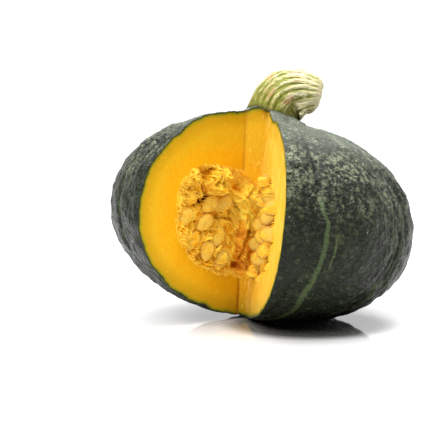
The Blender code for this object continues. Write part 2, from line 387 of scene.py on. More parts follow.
class Graph:
    """A node tree that is written as expressions."""

    def __init__(self, tree):
        self.tree = tree

    def add(self, kind, settings=None, inputs=(), output=0):
        """One node: its settings first, then the values or links of its sockets. Gives one of its outputs."""
        node = self.tree.nodes.new(kind)
        for name, value in (settings or {}).items():
            setattr(node, name, value)
        pairs = inputs.items() if isinstance(inputs, dict) else enumerate(inputs)
        for key, value in pairs:
            if isinstance(value, Value):
                self.tree.links.new(value.socket, node.inputs[key])
            else:
                node.inputs[key].default_value = value
        return Value(self, node.outputs[output]) if node.outputs else node

    def reading(self, name, vector=False):
        settings = {"attribute_name": name, "attribute_type": "GEOMETRY"}
        return self.add("ShaderNodeAttribute", settings, output="Vector" if vector else "Fac")

    @property
    def place(self):
        """Where on the fruit a point lies, in millimetres."""
        return self.reading("fruit_place", vector=True)

    def mix(self, a, b, factor):
        return self.add("ShaderNodeMix", {"data_type": "RGBA"}, {0: factor, 6: a, 7: b}, output=2)

    def axis(self, place, number):
        return self.add("ShaderNodeSeparateXYZ", None, {0: place}, output=number)

    def stretched(self, place, scale):
        return self.add("ShaderNodeVectorMath", {"operation": "MULTIPLY"}, {0: place, 1: scale})

    def noise(self, place, scale, detail=3.0, roughness=0.5, distortion=0.0):
        inputs = {"Vector": place, "Scale": scale, "Detail": detail, "Roughness": roughness}
        return self.add("ShaderNodeTexNoise", None, {**inputs, "Distortion": distortion})

    def cells(self, place, scale):
        return self.add("ShaderNodeTexVoronoi", {"feature": "F1"}, {"Vector": place, "Scale": scale})

    def bumped(self, height, strength, distance, normal=None):
        inputs = {"Strength": strength, "Distance": distance, "Height": height}
        return self.add("ShaderNodeBump", None, {**inputs, "Normal": normal} if normal else inputs)


def new_material(name, colour, roughness, normal=None, **constants):
    """A finish: makers of the varying colour, roughness and normal, and the values that don't vary."""
    material = bpy.data.materials.new(name)
    material.use_nodes = True
    material.node_tree.nodes.clear()
    graph = Graph(material.node_tree)
    inputs = {"Base Color": colour(graph), "Roughness": roughness(graph)}
    if normal:
        inputs["Normal"] = normal(graph)
    inputs.update({socket.replace("_", " "): value for socket, value in constants.items()})
    shader = graph.add("ShaderNodeBsdfPrincipled", None, inputs)
    graph.add("ShaderNodeOutputMaterial", None, {"Surface": shader})
    return material


def new_piece(name, places, faces, materials, replaced, readings=None, finish_of_face=None):
    """A smooth mesh in the frame that rides on the one body. Faces are rows of vertex numbers, -1 for none.

    The readings are values at its points for its finishes."""
    mesh = bpy.data.meshes.new(name)
    mesh.from_pydata(places.tolist(), [], [[v for v in face if v >= 0] for face in faces.tolist()])
    for reading, values in (readings or {}).items():
        kind, field = ("FLOAT_VECTOR", "vector") if values.ndim == 2 else ("FLOAT", "value")
        mesh.attributes.new(reading, kind, "POINT").data.foreach_set(field, values.astype(np.float32).ravel())
    for material in materials:
        mesh.materials.append(material)
    if finish_of_face is not None:
        mesh.polygons.foreach_set("material_index", finish_of_face.astype(np.int32))
    mesh.shade_smooth()
    mesh.set_sharp_from_angle(angle=SHARP_ANGLE)
    piece = bpy.data.objects.new(name, mesh)
    bpy.context.scene.collection.objects.link(piece)
    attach(piece, "root")
    if replaced:
        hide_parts(*replaced)
    return piece


def grid_quads(numbers):
    """The quads of a grid of vertex numbers."""
    corners = numbers[:-1, :-1], numbers[:-1, 1:], numbers[1:, 1:], numbers[1:, :-1]
    return np.stack([corner.ravel() for corner in corners], axis=1)


def ring_quads(rings):
    """The quads between rings of vertex numbers."""
    return grid_quads(np.hstack((rings, rings[:, :1])))


def without_repeats(faces):
    """Quads with repeated corners dropped, and without those that have fewer than three left."""
    faces = np.where(faces == np.roll(faces, 1, axis=1), -1, faces)
    opposite = (faces[:, 0] == faces[:, 2]) | (faces[:, 1] == faces[:, 3])
    return faces[((faces >= 0).sum(axis=1) >= 3) & ~opposite]


def capped_quads(rings, first, last, turned=False):
    """The faces of rings of vertex numbers that close in one vertex at each end, turned inside out or not."""
    ends = [np.full((1, rings.shape[1]), tip) for tip in (first, last)]
    quads = ring_quads(np.vstack((ends[0], rings, ends[1])))
    return without_repeats(quads[:, ::-1] if turned else quads)


class RindSettings(bpy.types.PropertyGroup):
    lump_height: bpy.props.FloatProperty(
        name="Lump height", description="Height of the broad lumps of the rind", default=0.0008, unit="LENGTH"
    )
    wrinkle_height: bpy.props.FloatProperty(
        name="Wrinkle height", description="Height of the fine wrinkles", default=0.00056, unit="LENGTH"
    )
    fold_height: bpy.props.FloatProperty(
        name="Fold height", description="Height of the folds beside a furrow", default=0.0016, unit="LENGTH"
    )
    dark: bpy.props.FloatVectorProperty(
        name="Dark green", description="Ground colour", default=srgb(17, 20, 12), size=4, subtype="COLOR"
    )
    mottle: bpy.props.FloatVectorProperty(
        name="Mottling", description="Colour of the patches",
        default=srgb(120, 128, 102), size=4, subtype="COLOR",
    )
    streak: bpy.props.FloatVectorProperty(
        name="Streaks", description="Colour of the furrow lines",
        default=srgb(72, 86, 52), size=4, subtype="COLOR",
    )


class FleshSettings(bpy.types.PropertyGroup):
    outer: bpy.props.FloatVectorProperty(
        name="Outer flesh", description="Colour under the rind",
        default=srgb(212, 167, 22), size=4, subtype="COLOR",
    )
    inner: bpy.props.FloatVectorProperty(
        name="Inner flesh", description="Colour by the cavity",
        default=srgb(224, 166, 6), size=4, subtype="COLOR",
    )
    green: bpy.props.FloatVectorProperty(
        name="Green line", description="Colour close under the skin",
        default=srgb(104, 112, 16), size=4, subtype="COLOR",
    )
    knife_marks: bpy.props.FloatProperty(
        name="Knife marks", description="Height of the waves that the knife left",
        default=0.00012, unit="LENGTH",
    )


class PulpSettings(bpy.types.PropertyGroup):
    recess: bpy.props.FloatProperty(
        name="Recess", description="How far the pulp stands back from the cuts", default=0.0024, unit="LENGTH"
    )
    strand_height: bpy.props.FloatProperty(
        name="Strand height", description="Height of the torn strands", default=0.0011, unit="LENGTH"
    )
    pale: bpy.props.FloatVectorProperty(
        name="Strands", description="Colour of the strands",
        default=srgb(246, 196, 56), size=4, subtype="COLOR",
    )
    # The crevice colour paints shade between the strands.
    deep: bpy.props.FloatVectorProperty(
        name="Crevices", description="Colour between strands",
        default=srgb(208, 130, 2), size=4, subtype="COLOR",
    )
    fibres: bpy.props.IntProperty(name="Fibres", description="How many loose fibres", default=520, min=0)
    stubble: bpy.props.IntProperty(name="Stubble", description="How many fibre ends", default=900, min=0)


class SeedSettings(bpy.types.PropertyGroup):
    rim_height: bpy.props.FloatProperty(
        name="Rim height", description="Height of the seed's margin", default=0.00022, unit="LENGTH"
    )
    coat: bpy.props.FloatVectorProperty(
        name="Seed coat", description="Colour of the seeds",
        default=srgb(228, 196, 86), size=4, subtype="COLOR",
    )
    rim: bpy.props.FloatVectorProperty(
        name="Seed rim", description="Colour of the margin",
        default=srgb(200, 152, 50), size=4, subtype="COLOR",
    )


class StemSettings(bpy.types.PropertyGroup):
    ribs: bpy.props.IntProperty(name="Ribs", description="Corky ridges round the stem", default=19, min=3)
    rib_height: bpy.props.FloatProperty(
        name="Rib height", description="Height of a ridge over its groove", default=0.0012, unit="LENGTH"
    )
    cork: bpy.props.FloatVectorProperty(
        name="Cork", description="Colour of the ridges", default=srgb(190, 180, 130), size=4, subtype="COLOR"
    )
    groove: bpy.props.FloatVectorProperty(
        name="Groove", description="Colour between the ridges",
        default=srgb(98, 104, 24), size=4, subtype="COLOR",
    )
    scar: bpy.props.FloatVectorProperty(
        name="Scars", description="Colour of the rubbed patches",
        default=srgb(166, 128, 84), size=4, subtype="COLOR",
    )


class StageSettings(bpy.types.PropertyGroup):
    azimuth: bpy.props.FloatProperty(
        name="Camera azimuth", description="Round the fruit", default=math.radians(19.0), subtype="ANGLE"
    )
    elevation: bpy.props.FloatProperty(
        name="Camera elevation", description="Over the horizon", default=math.radians(6.3), subtype="ANGLE"
    )
    distance: bpy.props.FloatProperty(
        name="Camera distance", description="From the fruit's middle", default=1.15, unit="LENGTH"
    )
    lens: bpy.props.FloatProperty(
        name="Lens", description="Focal length on a 36 mm sensor, in millimetres", default=154.3
    )
    # Middle of the painted dark patch of shadow and reflection on the floor under the fruit.
    shadow_patch_middle: bpy.props.FloatVectorProperty(
        name="Contact", description="Middle of the dark reflection under the fruit",
        default=(0.034, -0.012, 0.0), subtype="TRANSLATION",
    )
    floor: bpy.props.FloatVectorProperty(
        name="Floor", description="Colour of the floor",
        default=(0.78, 0.78, 0.78, 1.0), size=4, subtype="COLOR",
    )


class SquashSettings(bpy.types.PropertyGroup):
    rind: bpy.props.PointerProperty(type=RindSettings)
    flesh: bpy.props.PointerProperty(type=FleshSettings)
    pulp: bpy.props.PointerProperty(type=PulpSettings)
    seeds: bpy.props.PointerProperty(type=SeedSettings)
    stem: bpy.props.PointerProperty(type=StemSettings)
    stage: bpy.props.PointerProperty(type=StageSettings)


# The rind's line in the front furrow, from foot to stem: latitude and azimuth in degrees.
FRONT_LINE = (
    (-60, 33), (-41, 27.5), (-31, 25), (-21, 24.5), (-6, 23.5), (1, 23),
    (5, 20.5), (12, 18.4), (21, 17.4), (30, 16), (52, 16), (70, 12),
)
# Half width of the line's pale streak in millimetres at each latitude.
FRONT_STREAK = ((-60, -30, 5), (2.8, 2.2, 1.4))
# Short lines beside it: azimuth, lowest and highest latitude, half width in millimetres and strength.
SHORT_LINES = (
    (27.6, -15.0, -2.0, 0.9, 0.9), (20.4, -14.0, -7.0, 0.7, 0.5), (19.5, 22.0, 31.0, 0.6, 0.7),
    (56.0, -12.0, 18.0, 0.9, 0.7), (61.0, -36.0, 2.0, 1.3, 0.9), (66.5, -30.0, 20.0, 0.8, 0.7),
    (72.0, -10.0, 24.0, 0.8, 0.5),
)
# How deeply the skin is folded beside each furrow, from the nearly plain front one on to the right.
FOLDS = np.array((0.12, 1.5, 1.0, 0.5, 0.7, 0.35, 0.15, 0.25))
# How much deeper the pulp is torn over the left cut: reach, and depth there.
TEAR = ((8.0, 20.0, 31.0, 38.0, 46.0, 52.0, 58.0), (0.0, 2.6, 6.6, 8.0, 6.8, 3.8, 0.0))
# How long the waves that the knife left are, along each axis.
KNIFE_WAVES = np.array((9.0, 9.0, 30.0))
STREAK_NOISE, LUMP_NOISE, WRINKLE_NOISE = Noise(0), Noise(1), Noise(2)
FOLD_NOISE, EDGE_NOISE, KNIFE_NOISE = Noise(3), Noise(4), Noise(5)


def from_furrow(azimuth):
    """The angle to the nearest furrow, and that furrow's number, 0 at the front."""
    number = np.round((azimuth - FURROW_AZIMUTH) / (2.0 * math.pi / LOBES))
    return azimuth - FURROW_AZIMUTH - number * 2.0 * math.pi / LOBES, np.mod(number, LOBES).astype(int)


def from_front_line(places):
    """Distance in millimetres from the line in the front furrow, and the latitude in degrees."""
    azimuth, latitude = skin_angles(places)
    degrees = np.degrees(latitude)
    latitudes, azimuths = np.array(FRONT_LINE).T
    front = np.radians(np.interp(degrees, latitudes, azimuths)) + 0.012 * STREAK_NOISE(places / 9.0)
    return (azimuth - front) * FRUIT_RADIUS * np.cos(latitude), degrees


def raised_rim(places):
    """How far the skin stands up along the top of the left cut, and sinks at the stem's right foot."""
    reach, out = on_face(LEFT, places)
    beside = smooth(reach, 62.0, 34.0) * smooth(reach, -24.0, -14.0) * bump(out, 13.0)
    dent = HOLLOW_DEPTH * bump(np.linalg.norm(places - STEM_HOLLOW, axis=-1), HOLLOW_SPREAD)
    return RIM_RISE * beside * smooth(places[..., 2], 34.0, 48.0) - dent


def folds_beside(places):
    """Long folds of the skin, 1 on a crest, and how strong they are there."""
    azimuth, latitude = skin_angles(places)
    away, number = from_furrow(azimuth)
    band = bump(away * FRUIT_RADIUS * np.cos(latitude), 15.0) * FOLDS[number]
    tall = smooth(latitude, -1.05, -0.5) * (1.0 - smooth(latitude, 0.35, 0.8))
    warp = places + 2.5 * STREAK_NOISE(places / 11.0)[..., None]
    return FOLD_NOISE.ridges(skin_space(warp, 5.0, 46.0)), band * tall


def rind_relief(places, settings):
    """How far the rind stands out of its plain shape: creases, lumps, folds and wrinkles."""
    azimuth, latitude = skin_angles(places)
    away, _ = from_furrow(azimuth)
    level = FRUIT_RADIUS * np.cos(latitude)
    pole_fade = smooth(math.pi / 2.0 - np.abs(latitude), 0.12, 0.5)
    crease = -0.75 * bump(away * level, 2.6) * pole_fade
    lumps = LUMP_NOISE.layers(places / 14.0, 2) * settings.lump_height / MM
    knobs = FOLD_NOISE.layers(places / 6.5, 2) * 0.5
    upper = 0.45 + 0.55 * smooth(latitude, 0.0, 0.7)
    wrinkles = WRINKLE_NOISE.layers(skin_space(places, 5.2, 2.6), 2, 0.6)
    wrinkles = wrinkles * settings.wrinkle_height / MM * upper
    crests, strong = folds_beside(places)
    folds = (crests - 0.45) * settings.fold_height / MM * (0.12 + strong) * pole_fade
    from_line, degrees = from_front_line(places)
    groove = -1.2 * bump(from_line, 2.2) * smooth(degrees, 2.0, 18.0) * pole_fade
    bumps = lumps * (0.5 + 0.5 * pole_fade) + knobs * pole_fade + wrinkles
    return crease + groove + bumps + folds + raised_rim(places)


def streak_strength(places):
    """Pale lines along the furrows: 0 on plain rind, 1 in the middle of a line."""
    azimuth, latitude = skin_angles(places)
    level = FRUIT_RADIUS * np.cos(latitude)
    wobble = 0.012 * STREAK_NOISE(places / 9.0)
    from_line, degrees = from_front_line(places)
    total = bump(from_line, np.interp(degrees, *FRONT_STREAK)) * smooth(degrees, 16.0, 8.0)
    for middle, low, high, width, strength in SHORT_LINES:
        ends = smooth(degrees, low - 3.0, low + 2.0) * smooth(degrees, high + 3.0, high - 2.0)
        line = bump((azimuth - math.radians(middle) + wobble) * level, width)
        total = np.maximum(total, line * ends * strength)
    away, number = from_furrow(azimuth)
    plain = (number > 1.5) & (number < 7.5)
    other = bump((away + 3.0 * wobble) * level, 1.8) * smooth(np.abs(degrees), 72.0, 50.0)
    return np.maximum(total, np.where(plain, other, 0.0) * 0.9)


def torn_edge(places):
    """How much further out than its plain shape the cavity's wall is torn, most over the left cut."""
    reach, out = on_face(LEFT, places)
    deep = np.interp(reach, *TEAR) * smooth(places[..., 2], -6.0, 6.0) * bump(out, 8.0)
    return deep + 1.6 * EDGE_NOISE.layers(places / 8.0, 2) + 0.7 * EDGE_NOISE.layers(places / 2.6, 3, 0.6)


def cavity_distance(origins, directions):
    """Distance along a ray to the cavity's torn wall."""
    plain = cast(origins, directions, CAVITY_CENTRE, cavity_reach)
    return plain + torn_edge(origins + directions * plain[..., None])


class BodyGrid:
    """The flesh as a bent block: rows from stem to foot, pages round the fruit, layers from cavity to rind.

    Every page is hinged on the wedge's inner edges, so the first and the last one are the two cuts, and the
    first and last row are the narrow face between them. A stride is how many pages a quad takes at once."""

    rows, pages, layers = 176, 512, 20
    end_stride, wall_stride = 16, 32
    bulge = 0.35

    def __init__(self, settings):
        self.settings = settings
        self.azimuths = np.linspace(RIGHT_CUT_AZIMUTH, 2.0 * math.pi + LEFT_CUT_AZIMUTH, self.pages + 1)
        self.middle, self.directions = page_rays(self.azimuths, hinged_across(self.azimuths), self.rows)
        self.inner = cavity_distance(self.middle, self.directions)
        plain = cast(self.middle, self.directions, np.zeros(3), rind_reach)
        outside = self.middle + self.directions * plain[..., None]
        self.facing = self.facing_share(outside)
        self.outer = plain + rind_relief(outside, settings.rind) / np.maximum(self.facing, 0.5)
        self.stride = self.row_strides(outside)

    def facing_share(self, outside, step=0.5):
        """How squarely each ray meets the rind, 1 where it meets it straight on."""
        slope = np.stack(
            [
                np.linalg.norm(outside + shift, axis=-1) - rind_reach(unit(outside + shift))
                - np.linalg.norm(outside - shift, axis=-1) + rind_reach(unit(outside - shift))
                for shift in np.eye(3) * step
            ],
            axis=-1,
        )
        return np.abs(dot(unit(slope), self.directions))

    def row_strides(self, outside, finest=0.75):
        """How many pages each row's quads take at once, so that they don't get thin near the poles."""
        gaps = np.linalg.norm(np.diff(outside, axis=1), axis=-1)
        typical = np.median(gaps, axis=1)
        stride = 2 ** np.floor(np.log2(np.maximum(finest / np.maximum(typical, 1e-6), 1.0)))
        return np.minimum(stride, self.end_stride).astype(int)

    def settled(self, row, page, layer):
        """The grid point that stands for this one where pages are skipped or drawn together."""
        end = (row == 0) | (row == self.rows)
        stride = np.where(layer == 0, self.wall_stride, self.stride[row])
        stride = np.where(end, self.end_stride, stride)
        skipped = page // stride * stride
        first = self.azimuths[skipped] <= FACET_HEADING
        last = self.azimuths[skipped] >= FACET_HEADING + math.pi
        skipped = np.where(end & first, 0, np.where(end & last, self.pages, skipped))
        return np.where(page == self.pages, self.pages, skipped)

    def number(self, row, page, layer):
        row, page, layer = np.broadcast_arrays(row, page, layer)
        page = self.settled(row, page, layer)
        return (row * (self.pages + 1) + page) * (self.layers + 1) + layer

    def quads(self):
        """Quads of the six sides, and which finish each side takes: 0 rind, 1 flesh."""
        rows, pages = np.arange(self.rows + 1)[:, None], np.arange(self.pages + 1)[None, :]
        layers = np.arange(self.layers + 1)
        sides = (
            (self.number(rows, pages, self.layers), 0),
            (self.number(rows, pages, 0)[:, ::-1], 1),
            (self.number(rows, 0, layers[None, :]), 1),
            (self.number(rows, self.pages, layers[None, ::-1]), 1),
            (self.number(0, pages.T, layers[None, ::-1]), 1),
            (self.number(self.rows, pages.T, layers[None, :]), 1),
        )
        faces, finishes = [], []
        for numbers, finish in sides:
            kept = without_repeats(grid_quads(numbers)[:, ::-1])
            faces.append(kept)
            finishes.append(np.full(len(kept), finish))
        return np.concatenate(faces), np.concatenate(finishes)

    def points(self, numbers):
        """Place, depth under the rind and distance from the cavity of numbered grid points."""
        layer = numbers % (self.layers + 1)
        page = numbers // (self.layers + 1) % (self.pages + 1)
        row = numbers // (self.layers + 1) // (self.pages + 1)
        share = layer / self.layers
        thick = (self.outer - self.inner)[row, page]
        share = share + self.bulge * share * (1.0 - share)
        reach = self.inner[row, page] + thick * share
        place = self.middle[row, page] + self.directions[row, page] * reach[:, None]
        marks = KNIFE_NOISE.layers(place / KNIFE_WAVES, 2) * self.settings.flesh.knife_marks / MM
        inside = (layer > 0) & (layer < self.layers)
        for cut, at_page in ((RIGHT, 0), (LEFT, self.pages)):
            _, out = sheet_axes(cut)
            place += np.where(inside & (page == at_page), marks, 0.0)[:, None] * out
        return place, (1.0 - share) * thick * self.facing[row, page], share * thick


def corner_distance(places, across):
    """Distance from one of the wedge's inner edges."""
    foot, along = hinge(0.0, across), unit(hinge(1.0, across) - hinge(0.0, across))
    return np.linalg.norm(np.cross(places - foot, along), axis=-1)


def corner_shade_line(places):
    """A painted shade line along the left inner edge, where the two cut faces meet, stronger below."""
    wobble = 0.5 * EDGE_NOISE(places / 3.0)
    away = corner_distance(places, 0.0) + wobble
    return smooth(away, 1.5, 0.2) * (0.45 + 0.5 * smooth(places[..., 2], -10.0, -34.0))


def build_body(settings):
    grid = BodyGrid(settings)
    faces, finish_of_face = grid.quads()
    used, order = np.unique(faces, return_inverse=True)
    faces = order.reshape(faces.shape) - (used[0] == -1)
    places, depth, from_cavity = grid.points(used[used >= 0])
    in_frame = to_frame(places)
    in_frame[:, 2] = np.maximum(in_frame[:, 2], 0.0)
    from_line, degrees = from_front_line(places)
    crests, strong = folds_beside(places)
    readings = {
        "fruit_place": places,
        "under_rind": depth,
        "from_cavity": from_cavity,
        "streak": streak_strength(places),
        # groove: where the front furrow's groove runs; the rind colour darkens it there as painted shade.
        "groove": bump(from_line, 1.7) * smooth(degrees, 7.0, 18.0) * smooth(degrees, 84.0, 66.0),
        "fold": (crests - 0.5) * 2.0 * strong,
        "corner_shade_line": corner_shade_line(places),
        "by_corner": bump(corner_distance(places, 1.0), 9.0),
        # right_cut: the right cut's face, which the flesh colour paints paler, partly as painted light.
        "right_cut": smooth(np.abs(on_face(RIGHT, places)[1]), 1.2, 0.5),
    }
    new_piece(
        "rind_and_flesh", in_frame, faces, [rind_finish(settings.rind), flesh_finish(settings.flesh)],
        ["squash_body"], readings, finish_of_face,
    )


def rind_finish(settings):
    """Waxy dark green skin: mottled patches, pale lines, fine wrinkles, with painted light: paler patches and
    a painted sheen towards the top, and painted shade in the front groove and the fold troughs.
    """

    def colour(graph):
        place = graph.place
        coarse = graph.noise(place, 0.085, 2.0, 0.5)
        fine = graph.noise(place, 0.34, 4.0, 0.6, 0.4)
        patches = (coarse * 0.4 + fine * 0.6).between(0.46, 0.62)
        grain = graph.noise(place, 0.9, 3.0, 0.65)
        height = graph.axis(place, 2)
        ground = graph.mix(tuple(settings.dark), srgb(39, 46, 28), grain.between(0.48, 0.68))
        # The patches get paler and spread wider towards the top: partly their own colour, partly painted
        # light from above.
        patch_colour_and_top_light = graph.mix(srgb(50, 60, 34), tuple(settings.mottle), height.between(-25.0, 45.0))
        spread = patches * (height.between(-16.0, 38.0) * 0.7 + 0.3)
        mottled = graph.mix(ground, patch_colour_and_top_light, spread * grain.between(0.34, 0.58))
        spots = graph.cells(place, 0.15).between(0.36, 0.18) * grain.between(0.40, 0.56)
        mottled = graph.mix(mottled, srgb(58, 68, 42), spots * height.between(40.0, 5.0) * 0.8)
        broken = graph.noise(place, 0.9, 3.0, 0.6)
        line = (graph.reading("streak") * (broken + 0.55)).between(0.25, 0.75)
        fold = graph.reading("fold")
        # Fold crests paler, partly pale streaks and partly a painted highlight; fold troughs darker, a
        # painted shade.
        mottled = graph.mix(mottled, srgb(86, 96, 72), fold.between(0.3, 0.8) * (fine + 0.1) * 0.7)
        mottled = graph.mix(mottled, srgb(16, 20, 16), fold.between(-0.1, -0.5) * 0.8)
        olive = graph.mix(tuple(settings.streak), srgb(118, 126, 104), height.between(8.0, 22.0))
        lined = graph.mix(mottled, olive, line * (grain * 1.4))
        # Painted shade: darker along the groove in the front furrow.
        lined = graph.mix(lined, srgb(22, 27, 22), graph.reading("groove") * (broken + 0.35))
        # Paler grey towards the stem: partly the rind's waxy bloom, partly a painted sheen from the light
        # above.
        bloom_and_sheen = graph.mix(lined, srgb(112, 118, 106), height.between(34.0, 64.0) * 0.55)
        specks = graph.cells(place, 0.12).between(0.05, 0.025)
        return graph.mix(bloom_and_sheen, srgb(176, 182, 150), specks * 0.8)

    def roughness(graph):
        return graph.noise(graph.place, 0.5, 3.0, 0.6) * 0.2 + 0.25

    def normal(graph):
        wrinkles = graph.noise(graph.stretched(graph.place, (0.3, 0.3, 0.45)), 1.0, 3.0, 0.5, 0.5)
        pores = graph.noise(graph.place, 1.6, 2.0, 0.6)
        return graph.bumped(pores, 0.3, 0.0002, graph.bumped(wrinkles, 1.0, 0.0022))

    return new_material("rind", colour, roughness, normal, Specular_IOR_Level=0.13)


def flesh_finish(settings):
    """Moist cut flesh: a green line under the skin, then yellow that deepens towards the cavity, with paler
    streaks on the right cut that are partly painted light, and a painted shade line along the left inner
    edge.
    """

    def colour(graph):
        place = graph.place
        wander = graph.noise(place, 0.16, 3.0, 0.6) - 0.5
        depth = graph.reading("under_rind") + wander * 1.6
        cavity = graph.reading("from_cavity") + wander * 7.0
        fine = graph.noise(graph.stretched(place, (1.0, 1.0, 0.7)), 0.45, 5.0, 0.75)
        flesh = graph.mix(tuple(settings.inner), tuple(settings.outer), cavity.between(3.0, 22.0))
        flesh = graph.mix(flesh, srgb(216, 140, 4), fine.between(0.50, 0.72) * 0.5)
        flesh = graph.mix(flesh, srgb(246, 200, 70), fine.between(0.46, 0.28) * 0.4)
        ochre = graph.mix(srgb(192, 148, 8), flesh, depth.between(3.0, 13.0))
        yellow = graph.mix(srgb(168, 144, 12), ochre, depth.between(1.8, 4.4))
        green = graph.mix(tuple(settings.green), yellow, depth.between(0.9, 2.4))
        skin = graph.mix(srgb(34, 44, 18), green, depth.between(0.4, 1.2))
        dots = graph.cells(place, 0.30).between(0.15, 0.05) * graph.noise(place, 0.1, 2.0).between(0.44, 0.56)
        skin = graph.mix(skin, srgb(252, 214, 96), dots * depth.between(1.5, 3.0) * 0.7)
        flecks = graph.noise(graph.stretched(place, (1.0, 1.0, 0.3)), 0.5, 3.0, 0.6).between(0.60, 0.70)
        skin = graph.mix(skin, srgb(250, 218, 104), flecks * graph.reading("by_corner") * 0.7)
        # Paler upright streaks over the right cut: partly fibre texture, partly painted light that makes this
        # cut paler than the left one.
        upright = graph.noise(graph.stretched(place, (1.0, 1.0, 0.12)), 0.55, 3.0, 0.6).between(0.42, 0.60)
        pale = upright * graph.reading("right_cut") * depth.between(1.5, 4.0)
        skin = graph.mix(skin, srgb(248, 208, 104), pale * 0.6)
        # Painted shade: the brown line in the corner along the left inner edge.
        return graph.mix(skin, srgb(150, 76, 4), graph.reading("corner_shade_line") * (fine + 0.35))

    def roughness(graph):
        return graph.noise(graph.place, 0.7, 3.0, 0.6) * 0.24 + 0.34

    def normal(graph):
        grain = graph.noise(graph.stretched(graph.place, (1.0, 1.0, 0.7)), 0.8, 4.0, 0.7)
        return graph.bumped(grain, 0.5, 0.0006)

    return new_material(
        "flesh", colour, roughness, normal, Subsurface_Weight=0.12, Subsurface_Radius=(1.0, 0.6, 0.1),
        Subsurface_Scale=0.0010, Specular_IOR_Level=0.25,
    )


# The torn surface of the pulp, in millimetres. Lumps and pits: cut, reach, height, radius along, radius up
# and amount. Ridges and crevices: cut, half width, amount, and points as reach and height.
LUMPS = (
    (LEFT, 21.0, 18.0, 8.6, 8.4, 6.4),
    (LEFT, 12.0, -2.0, 6.0, 7.0, 1.6),
    (LEFT, 18.0, 12.5, 3.4, 2.4, 1.2),
    (LEFT, 25.5, 16.0, 2.0, 3.4, -1.2),
    (LEFT, 16.0, 23.2, 5.0, 3.2, 1.8),
    (LEFT, 13.6, 17.0, 2.6, 2.8, 1.6),
    (LEFT, 23.0, 11.5, 4.4, 3.4, 1.6),
    (LEFT, 24.5, 24.5, 2.4, 2.0, 1.2),
    (LEFT, 31.5, 22.6, 5.5, 2.2, -6.0),
    (LEFT, 5.0, 18.0, 8.5, 4.6, -2.6),
    (LEFT, 0.9, 16.4, 3.4, 3.0, -1.8),
    (LEFT, 0.9, 16.6, 1.3, 1.2, 2.2),
    (LEFT, 36.0, 4.0, 5.0, 3.6, -3.4),
    (LEFT, 18.0, -3.5, 7.0, 2.2, -3.6),
    (LEFT, 8.8, -3.6, 3.6, 1.8, -2.6),
    (LEFT, 44.0, 16.0, 5.0, 5.0, 1.0),
    (LEFT, 48.0, -20.0, 7.0, 8.0, 2.2),
    (LEFT, 22.0, -21.0, 7.0, 6.0, 2.4),
    (LEFT, 35.0, -13.0, 3.6, 6.0, -4.6),
    (LEFT, 12.0, -19.0, 3.0, 6.0, -3.2),
    (LEFT, 33.0, -31.0, 5.0, 3.0, -3.4),
    (LEFT, 53.0, 0.0, 4.0, 6.0, 1.2),
    (LEFT, 3.0, -32.0, 3.0, 2.4, -3.0),
    (FACET, 5.0, 2.0, 9.0, 15.0, 2.6),
    (FACET, 4.0, 6.0, 3.0, 5.0, 0.8),
    (FACET, 3.6, -15.0, 4.0, 14.0, 2.2),
    (RIGHT, 12.0, 20.0, 7.0, 7.0, 0.8),
    (RIGHT, 30.0, 12.0, 15.0, 5.0, 2.0),
    (RIGHT, 45.0, -0.8, 8.0, 1.8, -4.4),
    (RIGHT, 34.0, 3.6, 9.0, 2.0, 1.6),
    (RIGHT, 36.0, 17.8, 9.0, 1.6, -2.6),
    (RIGHT, 38.0, -13.4, 9.0, 2.0, -3.4),
    (RIGHT, 34.0, -20.0, 8.0, 4.0, 1.8),
    (RIGHT, 22.0, -28.0, 7.0, 4.0, 2.0),
    (RIGHT, 45.0, -26.0, 6.0, 2.6, -3.4),
)
RIDGES = (
    (LEFT, 2.4, 3.4, ((41.5, 21.0), (39.0, 17.0), (38.0, 13.0), (33.5, 6.0))),
    (LEFT, 0.9, 2.2, ((12.0, 16.8), (5.0, 13.2), (-4.0, 9.5), (-8.5, 4.0))),
    (LEFT, 0.8, 1.8, ((14.0, 10.0), (9.5, 5.6), (6.0, 1.0))),
    (LEFT, 0.8, 1.8, ((10.5, 13.0), (7.0, 8.0), (2.0, 2.2))),
    (LEFT, 0.8, 1.6, ((2.5, 8.5), (-3.0, 13.0), (-7.0, 19.0))),
    (LEFT, 0.7, 1.4, ((6.0, 6.0), (-1.0, 11.5), (-5.0, 20.0))),
    (LEFT, 0.8, 1.6, ((16.0, 26.0), (11.5, 22.5), (11.0, 18.0))),
    (RIGHT, 1.0, 1.6, ((-1.2, 22.0), (-1.0, 10.0), (-2.0, -4.0), (-1.5, -20.0))),
    (LEFT, 2.6, -11.0, ((36.5, 23.5), (33.6, 18.5), (33.4, 13.0), (29.0, 7.0))),
    (LEFT, 1.6, -4.0, ((35.0, 22.5), (30.0, 24.5), (26.0, 25.5))),
    (LEFT, 1.3, -3.6, ((38.5, 8.5), (35.5, 5.4), (31.5, 3.4))),
    (LEFT, 0.9, -5.6, ((8.4, 10.6), (6.0, 7.0), (3.6, 4.6))),
    (LEFT, 0.8, -3.6, ((3.0, 3.6), (2.0, 2.2))),
    (LEFT, 0.8, -3.0, ((11.0, 7.0), (9.4, 1.0), (10.5, -4.0))),
    (RIGHT, 0.7, -3.4, ((-3.4, -8.0), (-4.6, -14.0), (-5.6, -19.0), (-7.4, -27.0))),
    (RIGHT, 0.7, -2.6, ((0.6, 18.0), (1.0, 9.0), (0.2, -2.0))),
)
# How far pulp covers each seed, in order: 0 bare to its middle, 1 level with its top.
SEED_COVER = (-0.6, -0.6, 1.4, 1.4, 1.0, 0.2, 0.9, 1.2, 0.1, 1.0,
              1.3, 1.1, 1.0, 0.5, 0.9, 1.3, 1.0, 1.1, 0.7, 1.2, 1.0, 1.2)
CLUMP_NOISE, STRAND_NOISE, CROSS_NOISE, WARP_NOISE = (Noise(seed) for seed in range(10, 14))
PULP_READINGS = ("crevice", "firm", "by_hinge", "on_right", "strand")


